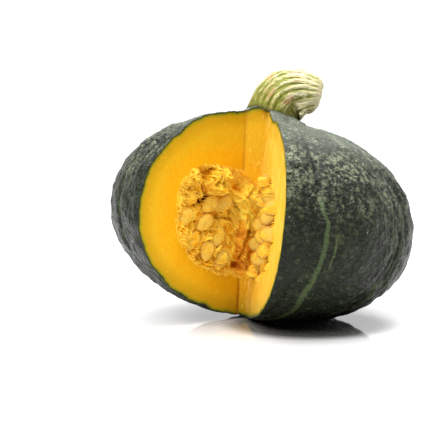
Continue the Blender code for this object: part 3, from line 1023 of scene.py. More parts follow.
def line_distance(x, y, points):
    """Distance from each place to a bent line."""
    best = np.full(np.shape(x), np.inf)
    for (x0, y0), (x1, y1) in zip(points, points[1:]):
        run, rise = x1 - x0, y1 - y0
        share = np.clip(((x - x0) * run + (y - y0) * rise) / (run * run + rise * rise), 0.0, 1.0)
        best = np.minimum(best, np.hypot(x - x0 - share * run, y - y0 - share * rise))
    return best


def seed_nodes():
    return sorted(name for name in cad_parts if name.startswith("seed_"))


def seed_pose(node):
    """Where a seed lies: its middle, and its long, wide and thin axes, the long one towards its point."""
    places = np.unique(np.round(node_corners(node), 7), axis=0)
    middle = places.mean(axis=0)
    _, _, axes = np.linalg.svd(places - middle)
    along, across, _ = ((places - middle) @ axes.T).T
    near_end = 0.3 * np.abs(along).max()
    widths = [np.abs(across[along * sign > near_end]).max() for sign in (1.0, -1.0)]
    long = axes[0] if widths[0] < widths[1] else -axes[0]
    thin = axes[2] if axes[2][1] < 0.0 else -axes[2]
    return middle, np.stack((long, np.cross(thin, long), thin))


class SeedBed:
    """A seed seen from the cut beside it: its outline on the cut, its slope and how thick it is."""

    def __init__(self, side, middle, axes, cover):
        along, out = sheet_axes(side)
        foot, top = hinge(0.0, float(side == RIGHT)), hinge(1.0, float(side == RIGHT))
        edge = (top - foot) / (top - foot)[2]
        basis = np.stack((along, edge, out), axis=1)
        self.middle = middle
        self.place = np.linalg.solve(basis, middle - foot) + (0.0, foot[2], 0.0)
        halves = np.linalg.solve(basis, axes.T).T * SEED_HALF[:, None]
        self.inverse = np.linalg.inv(halves[:, :2].T @ halves[:, :2])
        slant = halves[:, :2].T @ halves[:, 2]
        self.slope = self.inverse @ slant
        self.half = math.sqrt(halves[:, 2] @ halves[:, 2] - slant @ self.slope)
        self.cover = cover

    def look(self, reach, height):
        """How far out each place is, 1 on the outline, the level of the seed's middle, and its thickness."""
        step = np.stack((reach - self.place[0], height - self.place[1]), axis=-1)
        away = np.sqrt(np.sum(step @ self.inverse * step, axis=-1))
        level = self.place[2] + step @ self.slope / np.maximum(away, 1.0)
        return away, level, self.half * np.sqrt(np.clip(1.0 - away**2, 0.0, 1.0))


def find_seed_beds(deepest=3.0):
    """The seeds that lie within this many millimetres of each cut."""
    beds = {LEFT: [], FACET: [], RIGHT: []}
    for node, cover in zip(seed_nodes(), SEED_COVER):
        middle, axes = seed_pose(node)
        for side in (LEFT, RIGHT):
            bed = SeedBed(side, to_fruit(middle), axes @ FRUIT_TURN, cover)
            if abs(bed.place[2]) < deepest:
                beds[side].append(bed)
    return beds


SEED_BEDS = find_seed_beds()


def seed_tops(side, reach, height):
    """The highest seed surface over each place on a cut, far below it where there is no seed."""
    tops = np.full(np.shape(reach), -np.inf)
    for bed in SEED_BEDS[side]:
        away, level, thick = bed.look(reach, height)
        tops = np.where(away < 1.0, np.maximum(tops, level + thick), tops)
    return tops


def seed_gaps(side, reach, height):
    """How near each place on a cut is to the gap round a seed."""
    gaps = np.zeros(np.shape(reach))
    for bed in SEED_BEDS[side]:
        away, _, _ = bed.look(reach, height)
        gaps = np.maximum(gaps, bump(away - 1.08, 0.12))
    return gaps


def pulp_relief(side, reach, height, settings):
    """The torn surface of a face of the wedge: how far it stands out, how firm it is, 1 for plain flesh, how
    near each place is to the top of a strand, and how near to the middle of a crevice."""
    width = facet_width(share_at(height))
    over = {LEFT: -reach, FACET: reach, RIGHT: reach + width}[side]
    reaches = {LEFT: -over, FACET: over, RIGHT: over - width}
    places, rim = cavity_margin(side, reach, height)
    rim = rim + torn_edge(places)
    flat = np.stack((over, height, np.zeros_like(over)), axis=-1)
    warp = 2.6 * np.stack([WARP_NOISE.layers(flat / 9.0 + shift, 2) for shift in (0.0, 31.0)], axis=-1)
    x, y = over + warp[..., 0], height + warp[..., 1]
    ragged = 1.0 + 0.25 * CLUMP_NOISE.layers(flat / 2.6, 2)
    apex = np.hypot((over + 5.0) / 12.0, (height - 24.0) / 7.0) * ragged
    left = smooth(over, -8.0, -18.0)
    firm = np.maximum(smooth(rim * ragged, 6.0 + 4.0 * left, 1.0 + 3.0 * left), smooth(apex, 1.1, 0.7))

    def stretched(turn, along_mm, across_mm, noise, shift=0.0):
        cosine, sine = math.cos(turn), math.sin(turn)
        along, across = x * cosine + y * sine, y * cosine - x * sine
        return noise.ridges(np.stack((along / along_mm, across / across_mm, np.full_like(x, shift)), axis=-1))

    around = np.arctan2(y - 4.0, x + 27.0)
    spread = np.hypot(y - 4.0, x + 27.0)
    rays = np.stack((np.cos(around) * 9.0, np.sin(around) * 9.0, spread / 11.0), axis=-1)
    radial = STRAND_NOISE.ridges(rays)
    slanted = stretched(math.radians(-42.0), 13.0, 3.3, CROSS_NOISE)
    level = stretched(math.radians(12.0), 9.0, 2.0, STRAND_NOISE, 5.0)
    upright = stretched(math.radians(80.0), 13.0, 3.0, CROSS_NOISE, 9.0)
    leftward, rightward = smooth(over, -9.0, -20.0), smooth(over, 6.0, 18.0)
    between = 1.0 - leftward - rightward
    strands = radial * leftward + level * rightward + (0.6 * slanted + 0.4 * upright) * between
    clumps = CLUMP_NOISE.layers(flat / 6.0, 2)
    rough = 1.0 - 0.3 * between
    torn = (settings.strand_height / MM * (strands - 0.45) * 2.2 + 1.5 * clumps) * rough
    lift = np.zeros_like(over)
    for cut, at_reach, at_height, along, up, amount in LUMPS:
        gone = np.hypot((reaches[cut] - at_reach) / along, (height - at_height) / up) * ragged
        lift = lift + amount * smooth(gone, 1.3, 0.5)
    split = np.zeros_like(over)
    for cut, half_width, amount, points in RIDGES:
        shape = smooth(line_distance(reaches[cut], height, points) * ragged / half_width, 1.7, 0.3)
        lift = lift + amount * shape
        split = np.maximum(split, shape * (amount < 0.0))
    inner = smooth(rim * ragged, 0.4 + 3.0 * left, 7.0 + 5.0 * left)
    bristly = smooth(rim, 16.0, 10.0) * smooth(rim, 0.3, 1.8) * (0.35 + 0.65 * left)
    bristles = 2.2 * (STRAND_NOISE.ridges(flat / 1.7, 1) - 0.5) * bristly
    lift = -0.1 - (settings.recess / MM - 0.1) * inner + lift * smooth(rim, 0.3, 3.0) + bristles
    lift = lift + torn * inner * (1.0 - 0.8 * firm)
    for bed in SEED_BEDS[side]:
        away, level, thick = bed.look(reach, height)
        film = bed.cover + 0.7 * CLUMP_NOISE(flat / 5.0 + 5.0) + 0.3 * CLUMP_NOISE(flat / 2.0)
        cover = 1.7 * smooth(film, 0.7, 1.25) - 0.5
        wrapped = level + np.where(away < 1.0, cover * thick, 0.0) - lift
        raised = np.maximum(wrapped, 0.0) * smooth(away, 1.28, 1.0) * (1.0 - split * (bed.cover < 1.2))
        bared = np.minimum(wrapped, 0.0) * smooth(away, 1.12, 0.9)
        lift = lift + raised + bared * (cover < 1.0)
    return lift, firm, strands, split


def pulp_rows(rows):
    """For each row of the pulp, from stem to foot: where it meets the flesh and both inner edges."""
    ends = {}
    for side, azimuth, across in ((LEFT, LEFT_CUT_AZIMUTH, 0.0), (RIGHT, RIGHT_CUT_AZIMUTH, 1.0)):
        middle, directions = (grid[:, 0] for grid in page_rays(azimuth, across, rows))
        outline = middle + directions * (cavity_distance(middle, directions) + PULP_OVERLAP)[:, None]
        share = np.linspace(0.0, 1.0, rows + 1)[:, None]
        ends[side] = outline, outline[0] + (outline[-1] - outline[0]) * share
    return ends


def blurred(grid, steps):
    """A grid of values, each the mean of those up to this many steps away."""
    weights = np.hanning(2 * steps + 3)[1:-1]
    for _ in ("rows", "columns"):
        padded = np.pad(grid, ((steps, steps), (0, 0)), mode="edge")
        grid = sum(w * padded[k : k + len(grid)] for k, w in enumerate(weights)).T / weights.sum()
    return grid


def pulp_face(side, start, end, settings):
    """The places and readings of the pulp over a face of the wedge, row by row between two lines."""
    count = {LEFT: 140, FACET: 22, RIGHT: 104}[side]
    share = np.linspace(0.0, 1.0, count)[None, :, None]
    share = share[:, 1:-1] if side == FACET else share
    flat = start[:, None] + (end - start)[:, None] * share
    height = flat[..., 2]
    out, facet = sheet_axes(side)[1], sheet_axes(FACET)[1]
    reach, _ = on_face(side, flat)
    lift, firm, strand, split = pulp_relief(side, reach, height, settings)
    corners = {each: unit(sheet_axes(each)[1] + facet) for each in (LEFT, RIGHT)}
    if side == FACET:
        out = out + (corners[LEFT] - out) * (1 - share) + (corners[RIGHT] - out) * share
    else:
        out = out + (corners[side] - out) * smooth(reach, 7.0, 0.0)[..., None]
    # How strongly the gap round a seed and the split crevices add painted shade on each face.
    by_seed, in_split = {LEFT: (0.4, 0.85), FACET: (0.0, 0.0), RIGHT: (0.7, 0.7)}[side]
    return {
        "place": flat + unit(out) * lift[..., None],
        "lift": lift,
        "top": np.maximum(lift, seed_tops(side, reach, height)),
        "gap": np.maximum(by_seed * seed_gaps(side, reach, height), in_split * split),
        "firm": firm,
        # by_hinge: where the pulp is painted lighter, near the inner edges.
        "by_hinge": bump(reach * (side != FACET), 11.0),
        # on_right: where the pulp is painted darker, over the right cut.
        "on_right": np.full(lift.shape, float(side == RIGHT)),
        "strand": strand,
    }


def pulp_back(rows, back):
    """The plain side of the pulp, which faces the cavity's wall."""
    azimuths = np.linspace(RIGHT_CUT_AZIMUTH, 2.0 * math.pi + LEFT_CUT_AZIMUTH, back + 2)[1:-1]
    middle, directions = page_rays(azimuths, hinged_across(azimuths), rows)
    wall = cast(middle, directions, CAVITY_CENTRE, cavity_reach)
    return middle + directions * (wall - PULP_BACK_GAP)[..., None]


def build_pulp(settings):
    """A closed mass: each row goes along the left, the narrow and the right face, and round the back."""
    rows, back = 236, 18
    ends = pulp_rows(rows)
    hinges = {side: ends[side][1] for side in ends}
    spans = {
        LEFT: (ends[LEFT][0], hinges[LEFT]),
        FACET: (hinges[LEFT], hinges[RIGHT]),
        RIGHT: (hinges[RIGHT], ends[RIGHT][0]),
    }
    columns = [pulp_face(side, *spans[side], settings) for side in (LEFT, FACET, RIGHT)]
    grids = {name: np.concatenate([face[name] for face in columns], axis=1) for name in columns[0]}
    top, lift = grids["top"], grids["lift"]
    # The crevice reading is painted shade: higher where the pulp lies below its neighbours or the seeds'
    # tops, round the seeds and in the split crevices, and weaker near the hinge.
    sunk = 0.55 * (blurred(top, 9) - lift) + 0.95 * (blurred(top, 3) - lift)
    grids["crevice"] = smooth(sunk, -0.3, 2.4) * (1.0 - 0.7 * grids["by_hinge"]) + grids["gap"]
    rings = np.concatenate((grids["place"], pulp_back(rows, back)), axis=1)
    unseen = np.zeros((rows + 1, back))
    count = rings.shape[1]
    faces = capped_quads(np.arange((rows - 1) * count).reshape(rows - 1, count) + 2, 0, 1, turned=True)
    tips = np.stack([(hinges[LEFT][end] + hinges[RIGHT][end]) / 2.0 for end in (0, -1)])
    places = np.vstack((tips, rings[1:-1].reshape(-1, 3)))
    readings = {"fruit_place": places}
    for name in PULP_READINGS:
        readings[name] = np.concatenate((np.zeros(2), np.hstack((grids[name], unseen))[1:-1].ravel()))
    new_piece("pulp", to_frame(places), faces, [pulp_finish(settings)], ["pulp"], readings)


def pulp_finish(settings, name="pulp_fibre"):
    """Wet stringy pulp: golden on the strands, with painted shade in brown deep between them, like the flesh
    where it is firm; painted light by the hinge, painted shade over the right cut and low by the hinge.
    """

    def colour(graph):
        place = graph.place
        crevice, firm, on_right = graph.reading("crevice"), graph.reading("firm"), graph.reading("on_right")
        by_hinge = graph.reading("by_hinge")
        grain = graph.noise(graph.stretched(place, (0.7, 0.7, 1.1)), 0.5, 3.0, 0.55, 0.6)
        streaks = graph.reading("strand") * 0.55 + grain * 0.45
        patches = graph.noise(place, 0.11, 2.0, 0.5)
        strands = graph.mix(tuple(settings.pale), srgb(236, 176, 24), patches.between(0.42, 0.62))
        strands = graph.mix(strands, srgb(252, 214, 78), streaks.between(0.50, 0.64) * 0.8)
        strands = graph.mix(strands, srgb(224, 150, 8), streaks.between(0.44, 0.30) * 0.8)
        # depth follows the painted crevice shade: the deeper, the browner the pulp and the firm flesh.
        depth = crevice + (grain - 0.5) * 0.3 - (streaks - 0.5) * 0.3
        sunk = graph.mix(strands, tuple(settings.deep), depth.between(0.34, 0.74))
        sunk = graph.mix(sunk, srgb(160, 82, 0), depth.between(0.66, 1.05) * 0.9)
        flesh = graph.mix(srgb(248, 202, 70), srgb(236, 172, 10), depth.between(0.05, 0.26))
        flesh = graph.mix(flesh, srgb(206, 128, 2), depth.between(0.5, 1.0))
        # Painted shade over the right cut's pulp, darkest in its crevices.
        pulp = graph.mix(sunk, srgb(214, 154, 34), on_right * depth.between(0.9, 0.3) * 0.55)
        pulp = graph.mix(pulp, srgb(138, 74, 2), on_right * depth.between(0.45, 0.85) * 0.9)
        # Painted light: the torn strands by the hinge are coloured paler and brighter to stand in for light
        # that the shaded corner lacks.
        torn = graph.mix(srgb(248, 182, 30), srgb(255, 222, 80), streaks.between(0.38, 0.54))
        pulp = graph.mix(pulp, torn, by_hinge * 0.9)
        # Painted shade: deeper orange low down by the hinge.
        low = graph.axis(place, 2).between(-2.0, -14.0)
        low_hinge_shade = graph.mix(srgb(198, 106, 4), srgb(240, 164, 26), streaks.between(0.42, 0.60))
        pulp = graph.mix(pulp, low_hinge_shade, low * by_hinge.between(0.86, 0.99) * 0.85)
        return graph.mix(pulp, flesh, firm * 0.85)

    def roughness(graph):
        return graph.noise(graph.place, 0.6, 3.0, 0.6) * 0.3 + 0.28

    def normal(graph):
        threads = graph.noise(graph.stretched(graph.place, (1.2, 1.2, 0.6)), 1.6, 4.0, 0.7, 1.0)
        return graph.bumped(threads, 0.6, 0.0006)

    return new_material(
        name, colour, roughness, normal, Subsurface_Weight=0.1, Subsurface_Radius=(1.0, 0.6, 0.1),
        Subsurface_Scale=0.0015, Specular_IOR_Level=0.16,
    )


class Tubes:
    """Thin tapered tubes gathered into one mesh."""

    def __init__(self, sides):
        self.sides = sides
        self.places, self.faces, self.count = [], [], 0

    def add(self, path, radii):
        """One closed tube along a path, with a radius at each of its points."""
        tangent = unit(np.gradient(path, axis=0))
        side = unit(np.cross(tangent, (0.31, 0.52, 0.79)))
        front = np.cross(tangent, side)
        angles = np.linspace(0.0, 2.0 * math.pi, self.sides, endpoint=False)
        ring = side[:, None] * np.cos(angles)[None, :, None] + front[:, None] * np.sin(angles)[None, :, None]
        tube = path[:, None] + ring * radii[:, None, None]
        numbers = np.arange(len(path) * self.sides).reshape(-1, self.sides) + self.count
        self.faces.append(ring_quads(numbers))
        tips = self.count + len(path) * self.sides
        for tip, loop in ((tips, numbers[0][::-1]), (tips + 1, numbers[-1])):
            ahead = np.roll(loop, -1)
            fan = (loop, ahead, np.full_like(loop, tip), np.full_like(loop, -1))
            self.faces.append(np.stack(fan, axis=1))
        ends = np.stack((path[0] - tangent[0] * radii[0], path[-1] + tangent[-1] * radii[-1]))
        self.places += [tube.reshape(-1, 3), ends]
        self.count += len(path) * self.sides + 2


# Where loose fibres lie: cut, lowest and highest reach, lowest and highest height, turn in degrees and share.
FIBRE_FIELDS = (
    (LEFT, 30.0, 56.0, -8.0, 22.0, 35.0, 0.16),
    (LEFT, 8.0, 34.0, -34.0, 0.0, -25.0, 0.20),
    (LEFT, 34.0, 56.0, -30.0, -8.0, -40.0, 0.10),
    (LEFT, 0.0, 16.0, -8.0, 14.0, 38.0, 0.14),
    (FACET, 0.5, 8.0, -30.0, 15.0, -50.0, 0.12),
    (RIGHT, 1.0, 14.0, -32.0, 20.0, 70.0, 0.12),
    (RIGHT, 10.0, 56.0, -32.0, 26.0, 5.0, 0.16),
    (LEFT, 6.0, 32.0, 2.0, 24.0, -60.0, 0.14),
)
# Where stubble stands: cut, first and last row from the stem, how deep it goes and share.
STUBBLE_ROWS = 400
STUBBLE_FIELDS = ((LEFT, 55, 175, 14.0, 0.55), (LEFT, 175, 370, 8.0, 0.2), (RIGHT, 30, 370, 7.0, 0.25))


def loose_fibres(tubes, settings, rng):
    """Bundles of fibres that lie over the torn surface and the seeds, lifting off them between their ends."""
    steps = np.linspace(0.0, 1.0, 10)
    for side, low_reach, high_reach, low, high, turn, share in FIBRE_FIELDS:
        for _ in range(round(settings.fibres * share / 3.0)):
            reach0, height0 = rng.uniform(low_reach, high_reach), rng.uniform(low, high)
            length = rng.uniform(5.0, 16.0) * (0.5 if side == FACET else 1.0)
            turned = np.radians(turn + rng.normal(0.0, 24.0)) + rng.normal(0.0, 0.7) * steps
            arch = rng.uniform(0.1, 0.9)
            for _ in range(rng.integers(2, 5)):
                way = turned + rng.normal(0.0, 0.09) + rng.normal(0.0, 0.25) * steps
                step = length * rng.uniform(0.7, 1.1) / (len(steps) - 1)
                reach = reach0 + rng.normal(0.0, 0.6) + np.cumsum(np.cos(way)) * step
                height = height0 + rng.normal(0.0, 0.6) + np.cumsum(np.sin(way)) * step
                thick, lifted = rng.uniform(0.17, 0.42), arch + rng.uniform(0.0, 0.3)
                if reach.min() < 0.0 or cavity_margin(side, reach, height)[1].min() <= 1.0:
                    continue
                lift, *_ = pulp_relief(side, reach, height, settings)
                tops = seed_tops(side, reach, height)
                if np.any(tops > lift) and rng.random() < 0.85:
                    continue
                lift = np.maximum(lift, tops)
                smoothed = np.convolve(np.pad(lift, 1, mode="edge"), (0.25, 0.5, 0.25), mode="valid")
                lift = np.maximum(smoothed, lift - 0.1) + lifted * np.sin(math.pi * steps)
                lift -= 0.35 * (steps * 2 - 1) ** 6
                radii = thick * (0.35 + 0.65 * np.sin(math.pi * np.clip(steps, 0.04, 0.96)) ** 0.5)
                tubes.add(sheet_point(side, reach, height, lift), radii)


def stubble(tubes, settings, rng):
    """Short torn fibre ends that bristle where the pulp leaves the flesh, thickest over the left cut."""
    ends = pulp_rows(STUBBLE_ROWS)
    for side, first, last, deepest, share in STUBBLE_FIELDS:
        outline, inner = ends[side]
        _, out = sheet_axes(side)
        for _ in range(round(settings.stubble * share)):
            row = rng.integers(first, last)
            inward = rng.uniform(0.0, 1.0) ** 1.3 * deepest
            to_hinge = unit(inner[row] - outline[row])
            root = outline[row] + to_hinge * (inward + 0.2)
            reach, _ = on_face(side, root)
            lift, *_ = pulp_relief(side, np.array([reach]), np.array([root[2]]), settings)
            way = to_hinge * rng.uniform(-0.3, 1.2) + out * rng.uniform(0.3, 1.2) + rng.normal(0.0, 0.4, 3)
            steps = np.linspace(0.0, 1.0, 4)[:, None]
            length, thick = rng.uniform(0.8, 2.8), rng.uniform(0.18, 0.40)
            droop = np.array((0.0, 0.0, -0.4)) * steps**2 * length
            path = root + out * (lift[0] - 0.3) + unit(way) * steps * length + droop
            tubes.add(path, thick * (1.0 - 0.6 * steps[:, 0]))


def build_fibres(settings):
    rng = np.random.default_rng(21)
    tubes = Tubes(sides=5)
    loose_fibres(tubes, settings, rng)
    stubble(tubes, settings, rng)
    places = np.concatenate(tubes.places)
    readings = {name: np.zeros(len(places)) for name in PULP_READINGS}
    readings |= {"fruit_place": places, "strand": np.full(len(places), 0.62)}
    finish = pulp_finish(settings, "loose_fibre")
    new_piece("pulp_fibres", to_frame(places), np.concatenate(tubes.faces), [finish], None, readings)


def seed_shape(settings, number):
    """A flat pointed oval with a raised margin: places, how near the rim each one is, and faces."""
    segments, rings = 48, 26
    noise = Noise(100 + number)
    turn = np.linspace(0.0, 2.0 * math.pi, segments, endpoint=False)[None, :]
    polar = np.linspace(0.0, math.pi, rings + 1)[1:-1, None]
    radius = np.sin(polar) ** 0.8
    x = radius * np.cos(turn)
    y = radius * np.sin(turn) * (1.0 - SEED_POINT * x) * (1.0 - 0.16 * smooth(x, 0.45, 1.0))
    thick = 0.88
    crown = np.sqrt(np.clip(1.0 - radius**3.2, 0.0, 1.0)) * thick
    margin = settings.rim_height / MM / SEED_HALF[2] * bump(radius - 0.87, 0.06)
    z = np.sign(np.cos(polar)) * (crown + margin - 0.05 * bump(radius - 0.74, 0.07)) * np.ones_like(turn)
    places = np.stack((x, y, z), axis=-1) * SEED_HALF
    tips = np.array(((0.0, 0.0, thick), (0.0, 0.0, -thick))) * SEED_HALF
    places = np.vstack((tips, places.reshape(-1, 3)))
    bent = 0.012 * (places[:, 0] / 2.0) ** 2 * noise(np.ones(3) * number)
    places[:, 2] += 0.10 * noise.layers(places / 4.0, 2) + bent
    rim = np.concatenate((np.zeros(2), np.broadcast_to(radius, x.shape).ravel()))
    return places, rim, capped_quads(np.arange(x.size).reshape(rings - 1, segments) + 2, 0, 1, turned=True)


def build_seeds(settings):
    finish = seed_finish(settings)
    for number, node in enumerate(seed_nodes()):
        middle, axes = seed_pose(node)
        places, rim, faces = seed_shape(settings, number)
        in_frame = middle + places @ axes * MM
        on_right = any(np.allclose(bed.middle, to_fruit(middle)) for bed in SEED_BEDS[RIGHT])
        readings = {
            "seed_place": places + number * 17.0,
            "rim": rim,
            "fruit_place": to_fruit(in_frame),
            "on_right": np.full(len(places), float(on_right)),
        }
        new_piece(node.replace("seed", "whole_seed"), in_frame, faces, [finish], [node], readings)


def seed_finish(settings):
    """Cream seed coat, a warmer rim, and wet yellow film of pulp in patches."""

    def colour(graph):
        place = graph.reading("seed_place", vector=True)
        rim = graph.reading("rim")
        coat = graph.mix(tuple(settings.coat), tuple(settings.rim), rim.between(0.72, 0.95))
        cloudy = graph.noise(place, 0.35, 3.0, 0.6)
        coat = graph.mix(coat, srgb(206, 162, 64), cloudy.between(0.5, 0.72) * 0.7)
        film = graph.noise(graph.place, 0.22, 4.0, 0.7, 1.2)
        wet = graph.mix(coat, srgb(230, 176, 38), film.between(0.50, 0.62) * 0.75)
        shaded = rim.between(0.55, 1.0) * 0.4 + 0.38
        return graph.mix(wet, srgb(170, 120, 22), graph.reading("on_right") * shaded)

    def roughness(graph):
        return graph.noise(graph.reading("seed_place", vector=True), 0.5, 2.0) * 0.25 + 0.22

    def normal(graph):
        grain = graph.noise(graph.reading("seed_place", vector=True), 1.4, 3.0, 0.6)
        return graph.bumped(grain, 0.3, 0.0003)

    return new_material(
        "seed_coat", colour, roughness, normal, Subsurface_Weight=0.2, Subsurface_Radius=(1.0, 0.75, 0.35),
        Subsurface_Scale=0.0014, Specular_IOR_Level=0.25,
    )


def build_stem(settings):
    """A bent, ribbed stalk that grows out of the collar and ends in a blunt dry tip."""
    sides, rows, tip_rows = 260, 100, 22
    noise = Noise(40)
    angle = np.linspace(0.0, 2.0 * math.pi, sides, endpoint=False)
    wander = 0.16 * np.sin(3.0 * angle + 0.7) + 0.10 * np.sin(5.0 * angle + 2.1)

    def stalk(way):
        """The stalk's surface at a way along it for every side, way being rows by sides."""
        way3 = way[..., None]
        start = STEM_START + (STEM_BEND - STEM_START) * way3
        end = STEM_BEND + (STEM_TIP - STEM_BEND) * way3
        tangent = unit(end - start)
        side = np.broadcast_to(np.array((0.0, 1.0, 0.0)), tangent.shape)
        front = unit(np.cross(side, tangent))
        twist = angle + 0.30 * way
        ray = front * np.cos(angle)[:, None] + side * np.sin(angle)[:, None]

        def rough(across, along, octaves, shift=0.0):
            place = np.stack((ray[..., 0] * across, ray[..., 1] * across, way * along), axis=-1)
            return noise.layers(place + shift, octaves)

        drift = 0.06 * rough(1.6, 3.0, 2, 20.0)
        phase = settings.ribs * (twist + drift + wander * (1.0 - 0.4 * way)) / 2.0
        crest = np.abs(np.sin(phase)) ** 0.7
        radius = np.interp(way, STEM_WAYS, STEM_RADII)
        radius = radius + 3.8 * bump(way - 0.74, 0.13) * smooth(ray[..., 2], -0.5, -0.9)
        lumps, fine = rough(3.0, 5.0, 3), rough(16.0, 7.0, 2)
        rib = settings.rib_height / MM * (crest - 0.72) * (0.75 + 0.9 * lumps)
        radius = radius + rib + 0.35 * lumps + 0.16 * fine
        return start + (end - start) * way3 + ray * radius[..., None], crest

    sampled = np.linspace(0.0, 0.75, 151)[:, None] * np.ones((1, sides))
    surface, _ = stalk(sampled)
    sunk = np.linalg.norm(surface, axis=-1) < rind_reach(unit(surface)) + raised_rim(surface) - 0.9
    foot = sampled[np.argmin(sunk, axis=0), np.arange(sides)]
    share = np.linspace(0.0, 1.0, rows + 1)[:, None]
    way = foot + (STEM_END - foot) * share
    places, crest = stalk(way)
    from_foot = (way - foot) * STEM_LENGTH
    middle = places[-1].mean(axis=0)
    outward = places[-1] - middle
    over = unit(places[-1].mean(axis=0) - places[-4].mean(axis=0))
    turns = np.arange(1, tip_rows)[:, None] / tip_rows * math.pi / 2.0
    uneven = noise.layers(unit(outward) * 2.0 + np.sin(turns)[..., None] * 3.0, 2)
    rise = DOME_RISE * np.sin(turns) + 0.5 * uneven - 1.4 * smooth(np.cos(turns), 0.5, 0.1)
    dome = middle + outward * np.cos(turns)[..., None] ** 0.85 + over * rise[..., None]
    rings = np.concatenate((places, dome))
    crests = np.concatenate((crest, crest[-1] * np.cos(turns) + 0.3 * (1.0 - np.cos(turns))))
    distance = np.concatenate((from_foot, np.full((tip_rows - 1, sides), STEM_LENGTH)))
    tip_share = np.concatenate((np.zeros_like(crest), np.sin(turns) * np.ones(sides)))
    numbers = np.arange(rings[..., 0].size).reshape(-1, sides)
    faces = capped_quads(numbers, numbers.size, numbers.size + 1)
    tips = np.stack((rings[0].mean(axis=0), dome[-1].mean(axis=0)))
    places = np.vstack((rings.reshape(-1, 3), tips))
    lines = np.stack(np.broadcast_arrays(np.cos(angle) * 9.0, np.sin(angle) * 9.0, way * 2.0), axis=-1)
    lines = np.concatenate((lines, np.repeat(lines[-1:], tip_rows - 1, axis=0))).reshape(-1, 3)
    readings = {
        "fruit_place": places,
        "stalk_lines": np.vstack((lines, lines[:1], lines[-1:])),
        "crest": np.concatenate((crests.ravel(), (0.5, 0.5))),
        "from_foot": np.concatenate((distance.ravel(), (0.0, STEM_LENGTH))),
        "dry_tip": np.concatenate((tip_share.ravel(), (0.0, 1.0))),
    }
    new_piece("stalk", to_frame(places), faces, [stem_finish(settings)], ["stem"], readings)


def stem_finish(settings):
    """Corky ridges over olive grooves, with rubbed tan patches, a darker olive foot, painted shade on the
    lower right side and a painted contact shade where the foot meets the rind.
    """

    def colour(graph):
        lines = graph.reading("stalk_lines", vector=True)
        flecks = graph.noise(graph.stretched(lines, (1.0, 1.0, 3.4)), 2.0, 4.0, 0.75, 0.5)
        split = graph.noise(lines, 2.2, 4.0, 0.75, 0.4) * 0.45 + flecks * 0.55
        patches = graph.noise(graph.place, 0.13, 3.0, 0.6)
        rise = graph.reading("from_foot")
        aged = rise.between(2.0, 26.0) * 0.45 - 0.26
        cork = graph.reading("crest") * 0.8 + (split - 0.5) * 3.6 + (patches - 0.5) * 1.6 + aged + 0.1
        scars = (patches - split * 0.5).between(0.27, 0.38) * rise.between(26.0, 14.0)
        ridges = graph.mix(tuple(settings.cork), tuple(settings.scar), scars)
        pale = graph.noise(lines, 3.2, 2.0).between(0.50, 0.64) * rise.between(4.0, 22.0)
        ridges = graph.mix(ridges, srgb(244, 238, 204), pale)
        grooves = graph.mix(tuple(settings.groove), srgb(146, 148, 62), split.between(0.4, 0.62))
        stalk = graph.mix(grooves, ridges, cork.between(0.45, 0.9))
        # Painted shade on the stem's lower right side, near its foot.
        lower_right_shade = graph.axis(graph.place, 0).between(-4.0, 12.0) * rise.between(26.0, 8.0)
        stalk = graph.mix(stalk, srgb(92, 90, 28), lower_right_shade * split.between(0.62, 0.42) * 0.8)
        stalk = graph.mix(stalk, srgb(190, 178, 140), graph.reading("dry_tip").between(0.1, 0.7) * 0.8)
        stalk = graph.mix(stalk, srgb(116, 110, 22), rise.between(12.0, 2.0) * 0.4)
        # Painted shade: a dark band at the foot where the stem meets the rind.
        return graph.mix(srgb(66, 66, 16), stalk, rise.between(0.2, 2.4))

    def roughness(graph):
        return graph.noise(graph.reading("stalk_lines", vector=True), 2.0, 2.0) * 0.25 + 0.5

    def normal(graph):
        lines = graph.noise(graph.reading("stalk_lines", vector=True), 3.0, 3.0, 0.6)
        fine = graph.noise(graph.place, 1.8, 3.0, 0.65)
        return graph.bumped(fine, 0.3, 0.0004, graph.bumped(lines, 0.6, 0.0008))

    return new_material("stalk_cork", colour, roughness, normal, Specular_IOR_Level=0.3)


def build_light(name, place, size, watts, target=(0.0, 0.0, 0.06)):
    """A rectangular softbox that faces its target."""
    lamp = bpy.data.lights.new(name, "AREA")
    lamp.shape, lamp.energy = "RECTANGLE", watts
    lamp.size, lamp.size_y = size
    softbox = bpy.data.objects.new(name, lamp)
    softbox.location = place
    softbox.rotation_euler = (Vector(target) - Vector(place)).to_track_quat("-Z", "Y").to_euler()
    bpy.context.scene.collection.objects.link(softbox)


# The stage, in metres: the strength of the light from the dim room, and how far the camera is off to the side
# and up.
DIM_ROOM = 0.07
SENSOR_WIDTH = 36.0
CAMERA_OFFSET = (-0.0311, 0.0042)


def floor_finish(settings):
    """A pale sheet, polished under the fruit and duller away from it, with a painted dark patch of shadow and
    reflection under the fruit.
    """

    def distance(graph, middle):
        place = graph.add("ShaderNodeNewGeometry", output="Position")
        return graph.add("ShaderNodeVectorMath", {"operation": "DISTANCE"}, {0: place, 1: middle}, "Value")

    def colour(graph):
        away = distance(graph, tuple(settings.shadow_patch_middle))
        # Painted shadow and reflection: a dark grey patch on the floor under the fruit.
        return graph.mix(srgb(110, 110, 108), tuple(settings.floor), away.between(0.040, 0.060))

    def roughness(graph):
        return distance(graph, (0.0, 0.0, 0.0)).between(0.06, 0.30) * 0.4 + 0.05

    return new_material("floor", colour, roughness, None, Specular_IOR_Level=0.6)


